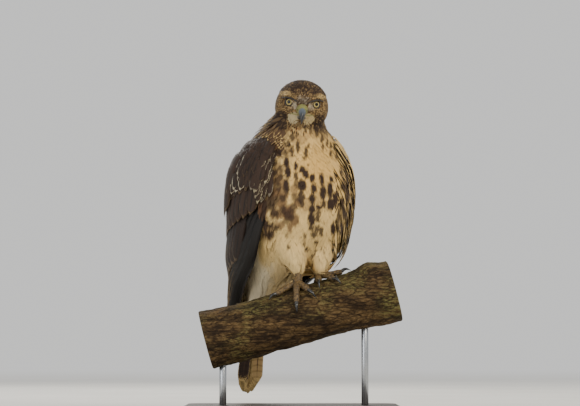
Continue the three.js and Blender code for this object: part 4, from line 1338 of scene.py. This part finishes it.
def long_tiers(label):
    for tier, form in TIERS.items():
        count = form["count"]
        k = np.linspace(0, 1, count)
        tips = row_of(count, *form["tips"])
        tips[:, 1] += form["droop"] * np.sin(np.pi * (0.15 + 0.8 * k))
        wing_tier(label, tier, row_of(count, *form["roots"]), tips, mix(*form["width"], k),
                  mix(*form["lift"], k), form["tilt"], form["outline"], wing_looks(count, *form["looks"]),
                  rows=form["rows"])


def lesser_coverts(label):
    """Rows of short feathers over the wing's upper part, a few of them edged with white"""
    count = 14
    roots, tips = [], []
    for row in range(8):
        base = row_of(count, (-0.02, 0.026 * row), (0.92, 0.02 + 0.034 * row))
        base[:, 0] += (0.5 / count) * (row % 2)
        base += rng.normal(0, 0.006, base.shape)
        roots.append(base)
        tips.append(base + np.array([0.012, 0.092]) + rng.normal(0, 0.006, base.shape))
    roots, tips = np.concatenate(roots), np.concatenate(tips)
    if SIDES[label] > 0:
        shown = (roots[:, 0] > 0.1) | (roots[:, 1] > 0.3)
        roots, tips = roots[shown], tips[shown]
    n = len(roots)
    looks = wing_looks(n, "umber", "edge", 0.14)
    flecked(looks, tips, 0.05)
    rise = (9.5 + 1.5 * rng.random(n)) * mix(0.25, 1, smooth(0.02, 0.22, tips[:, 1]))
    wing_tier(label, "lesser_coverts", roots, tips, np.full(n, 15.0), rise, 7, SHORT_OUTLINE, looks,
              rows=7, thick=0.4, ragged=0.08)


def scapulars(label):
    """Broad feathers between the wing and the back"""
    roots, tips = [], []
    for row in range(4):
        base = row_of(7, (0.4, 0.02 + 0.05 * row), (0.95, 0.06 + 0.075 * row))
        base += rng.normal(0, 0.008, base.shape)
        roots.append(base)
        tips.append(base + np.array([0.02, 0.15 + 0.02 * row]))
    roots, tips = np.concatenate(roots), np.concatenate(tips)
    n = len(roots)
    looks = wing_looks(n, "umber", "edge", 0.13)
    looks["edge"] = looks["edge"] * 0.75
    rise = (11.2 + rng.random(n)) * mix(0.4, 1, smooth(0.1, 0.28, tips[:, 1]))
    wing_tier(label, "scapulars", roots, tips, np.full(n, 26.0), rise, 7, SHORT_OUTLINE, looks, rows=8,
              ragged=0.2)


def breast_sides(label):
    """Streaked feathers of the breast's side, which lie over the front edge of the wing"""
    coat = SIDE_COAT[label]
    u, v = np.meshgrid(np.linspace(*coat["across"]), np.linspace(-0.01, coat["lowest"], 17))
    first = coat["across"][0]
    u = mix(first, u, mix(1, 0.6, smooth(0.05, 0.3, v)))
    n = u.size
    roots = np.stack([u.ravel(), v.ravel()], -1) + rng.normal(0, 0.01, (n, 2))
    tips = roots + np.stack([rng.normal(0, 0.015, n), 0.1 + 0.06 * rng.random(n)], -1)
    chance = rng.random((n, 3))
    looks = wing_looks(n, "buff", "cream", 0.0)
    looks["mark"] = np.repeat(COLOUR["umber"][None], n, 0)
    looks["width"] = np.where(chance[:, 0] < 0.6, 0.4 + 0.25 * chance[:, 1], 0)
    dark = chance[:, 2] < coat["dark"]
    looks["ground"][dark] = COLOUR["umber"]
    looks["edge"] = mix(COLOUR["grey"], COLOUR["cream"], 0.7 * chance[:, :1])
    looks["rim"] = np.where(dark, 0.18, 0)
    top = mix(coat["top"], 1, smooth(0.08, 0.25, tips[:, 1]))
    rise = mix(-6, 13 * top, smooth(-0.18, 0.06, roots[:, 0]))
    wing_tier(label, "sides", roots, tips, np.full(n, 12.0), rise, 5, SHORT_OUTLINE, looks, rows=8,
              thick=0.4, ragged=0.5, sunk=-6, stain=coat["stain"])


for label in SIDES:
    wing_flesh(label)
    long_tiers(label)
    lesser_coverts(label)
    scapulars(label)
    breast_sides(label)


# Tail

TAIL = {"tip": 30, "root": 186, "pairs": 6, "width": 22, "step": 1.2, "rows": 16}


def tail_feather(side, pair):
    """Points along a feather of the tail, its upward directions and half widths"""
    t = np.linspace(0, 1, TAIL["rows"])
    late = side < 0 and pair == 0
    tip = TAIL["tip"] + 3.4 * pair + 2 * late
    layer = -TAIL["step"] * (pair + 0.95 * late + (pair > 0))
    middle = side * (2.5 if pair == 0 else 6.0 + 1.5 * pair)
    z = mix(TAIL["root"], tip, t)
    none = np.zeros(len(t))
    along = unit(np.stack([none, (TAIL_BACK(z - 2) - TAIL_BACK(z + 2))[:, 0], none - 4], -1))
    up = np.stack([none, -along[:, 2], along[:, 1]], -1)
    spread = middle * mix(0.55, 1, t)
    lift = (3.4 + layer - 0.035 * np.abs(spread))[:, None]
    centre = np.stack([spread, TAIL_BACK(z)[:, 0], z], -1) + up * lift
    return centre, up, TAIL["width"] / 2 * TAIL_OUTLINE(t)[:, 0] * mix(0.75, 1, t)


def tail_looks(n):
    looks = {
        "ground": np.repeat(mix(COLOUR["tan"], COLOUR["buff"], 0.25)[None], n, 0),
        "mark": np.repeat(COLOUR["brown"][None], n, 0),
        "edge": np.repeat(COLOUR["buff"][None], n, 0),
        "width": np.full(n, 0.1),
        "rim": np.full(n, 0.07),
        "bars": np.full(n, 0.4),
        "rand": rng.random(n),
    }
    # Painted shade: the last two feathers, the outer ones on the bird's right, are umber for the shade on
    # that side of the tail
    looks["ground"][-2:] = COLOUR["umber"]
    for pair in (0, 1):
        looks["ground"][pair::TAIL["pairs"]] = mix(COLOUR["brown"], COLOUR["tan"], 0.35)
    return looks


def make_tail():
    feathers = [tail_feather(side, pair) for side in SIDES.values() for pair in range(TAIL["pairs"])]
    centre, up, half = (np.array(values) for values in zip(*feathers))
    n = len(centre)
    patch = np.stack([0.06 + 0.08 * np.arange(n), np.full(n, 0.5)], -1)
    side = np.broadcast_to([-1.0, 0, 0], centre.shape)
    piece = make_vanes("tail_feathers", centre, side, up, half, tail_looks(n), patch, thick=0.7,
                       camber=0.04, ragged=0.15, cols=7, patch_size=(0.06, 0.8))
    ride(piece, "tail_plumage", FLIGHT, "tail")


make_tail()


# Bill, cere, eyes and lids, in the head's frame

def head_piece(name, parts):
    return joined(name, [(head_to_bird(points), faces) for points, faces in parts])


def bill_rings(rows, sides, steps, keel=0.0):
    """Rings across a piece of the bill from rows of [along, height, half width, half height, lean]"""
    look = through([[i, *row] for i, row in enumerate(rows)])
    y, z, width, height, lean = look(np.linspace(0, len(rows) - 1, steps)).T[:, :, None]
    angle = circle(sides)[None]
    c, s = np.cos(angle), np.sin(angle)
    c = c * (1 - keel * np.maximum(s, 0) ** 2)
    rise = height * s
    tilt = np.radians(lean)
    return np.stack([width * c, y - rise * np.sin(tilt), z + rise * np.cos(tilt)], -1)


# Rows of the cere and the two halves of the bill, from their roots forward
CERE_ROWS = [
    [-36, -5, 9.4, 9.6, 0],
    [-43, -5.4, 8.6, 9.0, 8],
    [-48.5, -6.8, 7.2, 8.0, 18],
    [-51.5, -8.0, 6.3, 7.0, 24],
]
MAXILLA_ROWS = [
    [-51.2, -8.2, 5.9, 6.6, 24],
    [-56, -10.0, 5.3, 6.2, 36],
    [-59.5, -12.6, 4.5, 5.6, 52],
    [-61.8, -16.0, 3.5, 4.6, 68],
    [-63.0, -20.0, 2.4, 3.2, 80],
    [-63.0, -24.0, 1.2, 1.7, 92],
    [-62.3, -27.0, 0.4, 0.5, 100],
]
MANDIBLE_ROWS = [
    [-38, -17.0, 7.2, 3.6, 0],
    [-46, -17.4, 6.2, 3.4, 0],
    [-53, -17.6, 4.4, 2.8, 0],
    [-57.6, -17.6, 2.0, 1.6, 0],
]
# Lines along the left corner of the mouth, nostril and hood of the eye
GAPE_LINE = [(6.6, -51, -13.2), (10.5, -45, -12.6), (14.6, -38.6, -12), (18.6, -33.5, -11.4)]
NOSTRIL_LINE = [(6.2, -48.9, -7.6), (6.9, -48.5, -5.6), (6.3, -48.3, -3.8)]
HOOD_LINE = [(7, -44.5, 5), (12, -43, 8.6), (19, -39.8, 11.2), (26, -34, 12.2), (32, -26, 11)]


def make_horn(node, rows, sides, steps, last, keel):
    """One half of the bill, whose colour runs from its root to the last place"""
    piece = head_piece(f"{node}_horn", [loft(bill_rings(rows, sides, steps, keel))])
    store(piece, "run", np.repeat(np.linspace(0, last, steps), sides))
    ride(piece, "bill", BILL, node)


def make_cere():
    """The cere with the corners of the mouth, and the nostrils"""
    parts, slits = [loft(bill_rings(CERE_ROWS, 36, 20))], []
    for side in SIDES.values():
        parts.append(strand(side, GAPE_LINE, [0.8, 1.0, 0.9, 0.5], 20, (0, 0, 1), 12, 0.75))
        slits.append(strand(side, NOSTRIL_LINE, [0.5, 1.25, 0.5], 10, (1, 0, 0), 12, 0.8))
    ride(head_piece("cere_skin", parts), "cere", CERE, "cere")
    ride(head_piece("nostrils", slits), "bill", LID)


def eye_ways(side, out, rise):
    """Three directions of an eye: the way it looks, across it and up it"""
    out = math.radians(out)
    way = unit(np.array([side * math.sin(out), -math.cos(out), rise]))
    across = unit(np.cross(way, [0, 0, 1.0]))
    return way, across, np.cross(across, way)


def make_eyeball(label, side, centre):
    """The ball, with the distance from the middle of its pupil kept for the colours"""
    way, across, top = eye_ways(side, EYE["look"], 0.0)
    a, b = np.meshgrid(np.linspace(0.03, np.pi - 0.03, 40), circle(48), indexing="ij")
    d = (way * np.cos(a)[..., None] + across * (np.sin(a) * np.cos(b))[..., None]
         + top * (np.sin(a) * np.sin(b))[..., None])
    away = np.where(a < np.pi / 2, EYE["ball"] * np.sin(a), 9.0)
    ball = head_piece(f"eye_{label}_ball", [loft(centre + EYE["ball"] * d)])
    store(ball, "run", away)
    ride(ball, "eye", EYE_GLASS, f"eye_{label}")


def lid_ring(side, centre, turns=56, sides=12):
    """A closed ring of skin round the eye, flatter above"""
    way, across, top = eye_ways(side, EYE["out"], 0.05)
    points = []
    for angle in circle(turns):
        ray = across * math.cos(angle) + top * math.sin(angle) * (0.78 if angle < math.pi else 0.92)
        middle = centre + way * 4.7 + ray * 6.5
        points += [middle + 1.35 * (ray * math.cos(b) + way * math.sin(b)) for b in circle(sides)]
    faces = []
    for r in range(turns):
        for k in range(sides):
            here, after = r * sides, (r + 1) % turns * sides
            faces.append((here + k, here + (k + 1) % sides, after + (k + 1) % sides, after + k))
    return np.array(points), faces


def make_eye(label, side):
    centre = np.array([side * EYE["x"], EYE["y"], EYE["z"]])
    make_eyeball(label, side, centre)
    hood = strand(side, HOOD_LINE, [0.8, 2.0, 2.4, 2.2, 0.8], 24, (0, 0, 1), 14, 0.62)
    ride(head_piece(f"eye_{label}_lid", [lid_ring(side, centre), hood]), "eye", LID)


make_horn("bill_upper", MAXILLA_ROWS, 36, 40, 1, 0.18)
make_horn("bill_lower", MANDIBLE_ROWS, 28, 24, 0.8, 0)
make_cere()
for label, side in SIDES.items():
    make_eye(label, side)


# Branch, in the world's frame

SLOPE = math.radians(BRANCH_SLOPE)
BRANCH_WAY = np.array([math.cos(SLOPE), 0, math.sin(SLOPE)])
BRANCH_UP = np.array([-math.sin(SLOPE), 0, math.cos(SLOPE)])
KNOT = {"x": 128, "angle": 0.0, "rise": 9, "long": 20, "round": 0.6}


def branch_reach(x, angle):
    wave = 1.1 * np.sin(3 * angle + x / 31) + 0.9 * np.sin(5 * angle - x / 17)
    knot = np.exp(-(((x - KNOT["x"]) / KNOT["long"]) ** 2) - ((angle - KNOT["angle"]) / KNOT["round"]) ** 2)
    return BRANCH_RADIUS + 0.8 * wave + KNOT["rise"] * knot + 3 * (x / 150) ** 2


def on_branch(x, angle, height):
    x, angle, height = np.broadcast_arrays(x, angle, height)
    reach = (branch_reach(x, angle) + height)[..., None]
    middle = np.stack([x, np.full_like(x, BRANCH_Y), BRANCH_MIDDLE_Z + math.tan(SLOPE) * x], -1)
    over = BRANCH_UP * reach * np.cos(angle)[..., None]
    return middle + over - np.array([0, 1, 0]) * reach * np.sin(angle)[..., None]


def bark_rise(point):
    """Height of the bark at a place, in ridges that run along the branch"""
    p = Vector(point)
    ridge = 1 - abs(noise.noise(Vector((p.x * 0.011, p.y * 0.05, p.z * 0.045)) * 2.2)) * 2
    return 1.1 * ridge + 1.3 * noise.noise(p * 0.06) + 0.7 * noise.noise(p * 0.19)


def make_branch():
    """The branch with its bark, and flat sawn ends whose rings are kept for the colours"""
    steps, sides = 230, 150
    x = np.linspace(*BRANCH_ENDS, steps)[:, None]
    angle = np.linspace(-np.pi, np.pi, sides, endpoint=False)[None]
    rise = np.array([[bark_rise(point) for point in ring] for ring in on_branch(x, angle, 0.0)])
    rise = np.clip(rise - 1.2, -3.2, 1.0)
    rise[0] = rise[-1] = -1.2
    rings = on_branch(x, angle, rise)
    middle = rings.mean(1, keepdims=True)
    shares = (0.97, 0.75, 0.5, 0.25, 0.03)
    start = [middle[0] + (rings[0] - middle[0]) * share for share in shares[::-1]]
    stop = [middle[-1] + (rings[-1] - middle[-1]) * share for share in shares]
    piece = build("branch_bark", *loft(np.concatenate([start, rings, stop])), in_bird=False)
    caps, bark = np.ones(len(shares)), np.zeros(steps)
    store(piece, "sawn", np.repeat(np.concatenate([caps, bark, caps]), sides))
    store(piece, "ring", np.repeat(np.concatenate([shares[::-1], bark + 1, shares]), sides))
    ride(piece, "bark", BARK, "branch")


make_branch()


# Feet and claws, laid over the branch

# Toes: heading over the bark in degrees, length, radius, and reach of the claw in millimetres
TOES = {
    "right": [
        ("hallux", 192, 27, 4.6, 24),
        ("inner", 30, 26, 4.5, 22),
        ("middle", -14, 38, 4.5, 20),
        ("outer", -70, 38, 4.2, 17),
    ],
    "left": [
        ("hallux", 205, 27, 4.6, 24),
        ("inner", -6, 26, 4.5, 22),
        ("middle", 32, 38, 4.5, 20),
        ("outer", 84, 36, 4.2, 17),
    ],
}
# Along a toe and a claw: [share along, height of its middle over the bark, share of the radius]
TOE_HEIGHTS = through([
    [0, 7.5, 1.25],
    [0.2, 6.6, 1.05],
    [0.45, 5.6, 1.1],
    [0.6, 5.2, 0.92],
    [0.8, 4.6, 1.05],
    [1, 4.2, 0.82],
])
CLAW_HEIGHTS = through([
    [0, 4.6, 1],
    [0.22, 6.2, 0.92],
    [0.48, 6.6, 0.72],
    [0.74, 4.6, 0.45],
    [1, 1.0, 0.1],
])


def foot_start(side):
    """Where the foot is over the branch: distance along it and angle round it"""
    at = to_world(np.array([side * FOOT_X, FOOT_Y, 200.0])) / MM
    angle = math.asin((BRANCH_Y - at[1]) / BRANCH_RADIUS)
    return at[0] - BRANCH_RADIUS * math.cos(angle) * BRANCH_UP[0], angle


def toe_point(start, heading, distance, height):
    turn = math.radians(heading)
    along = start[0] + distance * math.sin(turn) * BRANCH_WAY[0]
    angle = start[1] + distance * math.cos(turn) / BRANCH_RADIUS
    return on_branch(along, angle, height)


def make_claw(node, rings, run):
    piece = build(f"{node}_horn", *loft(rings), in_bird=False)
    store(piece, "run", np.repeat(run, rings.shape[1]))
    ride(piece, "claw", CLAW, node)


def shank(side, heel):
    """The scaly leg from the heel up into the thigh"""
    x, steps = side * FOOT_X, 40
    line = [heel - [0, 0, 3], heel, (x, FOOT_Y, heel[2] + 10), (x, FOOT_Y + 1, 240)]
    points, radii = finer(line, [5.5, 7.6, 5.5, 6.0], steps)
    scales = 1 + 0.05 * np.abs(np.sin(np.linspace(0, 12 * np.pi, steps)))
    points, faces = loft(bar(points, radii * scales, (0, 1, 0), 20))
    return to_world(points) / MM, faces


def make_foot(label, side):
    """Toes that follow the bark, with their claws, and the leg over them"""
    start = foot_start(side)
    up = BRANCH_UP * math.cos(start[1]) + np.array([0, -1, 0]) * math.sin(start[1])
    parts = []
    for name, heading, length, radius, reach in TOES[label]:
        t = np.linspace(0, 1, 64)
        height, share = TOE_HEIGHTS(t).T
        plates = 1 + 0.07 * np.abs(np.sin(t * np.pi * 11))
        points = toe_point(start, heading, t * length, height)
        parts.append(loft(bar(points, radius * share * plates, up, 18)))
        t = np.linspace(0, 1, 30)
        height, share = CLAW_HEIGHTS(t).T
        points = toe_point(start, heading, length - 0.5 + t * reach * 0.86, height)
        make_claw(f"claw_{label}_{name}", bar(points, radius * share * 0.68, up, 16), t)
    parts.append(shank(side, to_bird(toe_point(start, 0, 0.0, 8.0) * MM)))
    ride(joined(f"foot_{label}_skin", parts, in_bird=False), "foot_skin", FOOT, f"foot_{label}")


for label, side in SIDES.items():
    make_foot(label, side)


# Stand

def make_plate():
    """The base plate, with round corners and rounded edges"""
    w, d = BASE["width"] / 2, BASE["depth"] / 2
    corner, bevel, thick = BASE["corner"], BASE["bevel"], BASE["thick"]
    angle = circle(96) + 1e-4
    centre = np.stack([np.sign(np.cos(angle)) * (w - corner), np.sign(np.sin(angle)) * (d - corner)], -1)
    way = np.stack([np.cos(angle), np.sin(angle)], -1)
    quarter = np.linspace(0, np.pi / 2, 6)
    edge = [(bevel * (1 - math.sin(a)), bevel * (1 - math.cos(a))) for a in quarter]
    profile = edge + [(inset, thick - height) for inset, height in edge[::-1]]
    rows = []
    for inset, height in profile:
        rows.append(np.column_stack([centre + way * (corner - inset), np.full(len(angle), height)]))
    plate = build("stand_base_plate", *loft(np.array(rows)), in_bird=False)
    ride(plate, "stand_wood", WOOD, "stand_base")


def make_rod(node, x):
    """A rod from just over the plate to just under its solid's top, inside the branch"""
    top = (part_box(node)[1][2] - 0.0004) / MM
    z = np.array([BASE["thick"] + GAP, BASE["thick"] + 1, top - 1, top])
    radii = np.array([ROD_RADIUS - 0.5, ROD_RADIUS, ROD_RADIUS, ROD_RADIUS - 0.5])
    points, faces = loft(level_rings(z, np.full(4, float(BRANCH_Y)), radii, radii, radii, 48))
    rod = build(f"{node}_bar", points + np.array([x, 0, 0]), faces, in_bird=False)
    ride(rod, "stand_steel", STEEL, node)


make_plate()
for i, x in enumerate(ROD_X):
    make_rod(f"stand_rod_{i + 1}", x)


# Floor, lights and camera

SKY = (0.87, 0.87, 0.86)
SKY_LIGHT = 0.92
FLOOR_HALF = 60000.0
LIGHTS = {
    "key": {"place": (1.5, -2.0, 1.9), "size": 1.2, "energy": 62, "color": (1.0, 0.92, 0.78)},
    "fill": {"place": (-1.8, -1.9, 0.5), "size": 1.8, "energy": 30, "color": (0.97, 0.98, 1.0)},
    "back": {"place": (-0.6, 2.0, 1.8), "size": 1.4, "energy": 36, "color": (1.0, 0.97, 0.9)},
}


def make_floor():
    """A pale floor that fades into the sky far away"""
    g = Graph("floor")
    tone = g.mix(g.ramp(g.noise(3.0), 0.3, 0.7), linear(0xDAD8D2), linear(0xE2E0DA))
    g.finish(Base_Color=tone, Roughness=0.85)
    away = g.node("ShaderNodeVectorMath", [(0, g.place())], operation="LENGTH").outputs["Value"]
    sky = g.node("ShaderNodeEmission", [("Color", SKY), ("Strength", SKY_LIGHT)]).outputs[0]
    faded = g.node("ShaderNodeMixShader", [(0, g.ramp(away, 1.2, 7.0)), (1, g.shader.outputs[0]), (2, sky)])
    g.put(g.nodes["Material Output"].inputs["Surface"], faded.outputs[0])
    corners = np.array([[-1, -1, 0], [1, -1, 0], [1, 1, 0], [-1, 1, 0]]) * FLOOR_HALF
    floor = build("floor", corners, [(0, 1, 2, 3)], in_bird=False)
    floor.data.materials.append(g.material)


def make_lights():
    world = bpy.data.worlds.new("studio")
    bpy.context.scene.world = world
    world.use_nodes = True
    sky = world.node_tree.nodes["Background"].inputs
    sky["Color"].default_value = (*SKY, 1)
    sky["Strength"].default_value = SKY_LIGHT
    target = Vector((0, 0, 0.33))
    for name, form in LIGHTS.items():
        light = bpy.data.lights.new(name, "AREA")
        light.size = form["size"]
        light.energy = form["energy"]
        light.color = form["color"]
        lamp = linked(name, light)
        lamp.location = form["place"]
        lamp.rotation_euler = (target - Vector(form["place"])).to_track_quat("-Z", "Y").to_euler()


def make_camera():
    data = bpy.data.cameras.new("camera")
    data.sensor_fit = "HORIZONTAL"
    data.sensor_width = 36
    data.lens = data.sensor_width * VIEW["away"] / VIEW["width"]
    camera = linked("camera", data)
    drop = math.radians(VIEW["down"])
    target = Vector((VIEW["x"], 0, VIEW["z"]))
    camera.location = target + Vector((0, -math.cos(drop), -math.sin(drop))) * VIEW["away"]
    camera.rotation_euler = (target - camera.location).to_track_quat("-Z", "Y").to_euler()
    bpy.context.scene.camera = camera


make_floor()
make_lights()
make_camera()
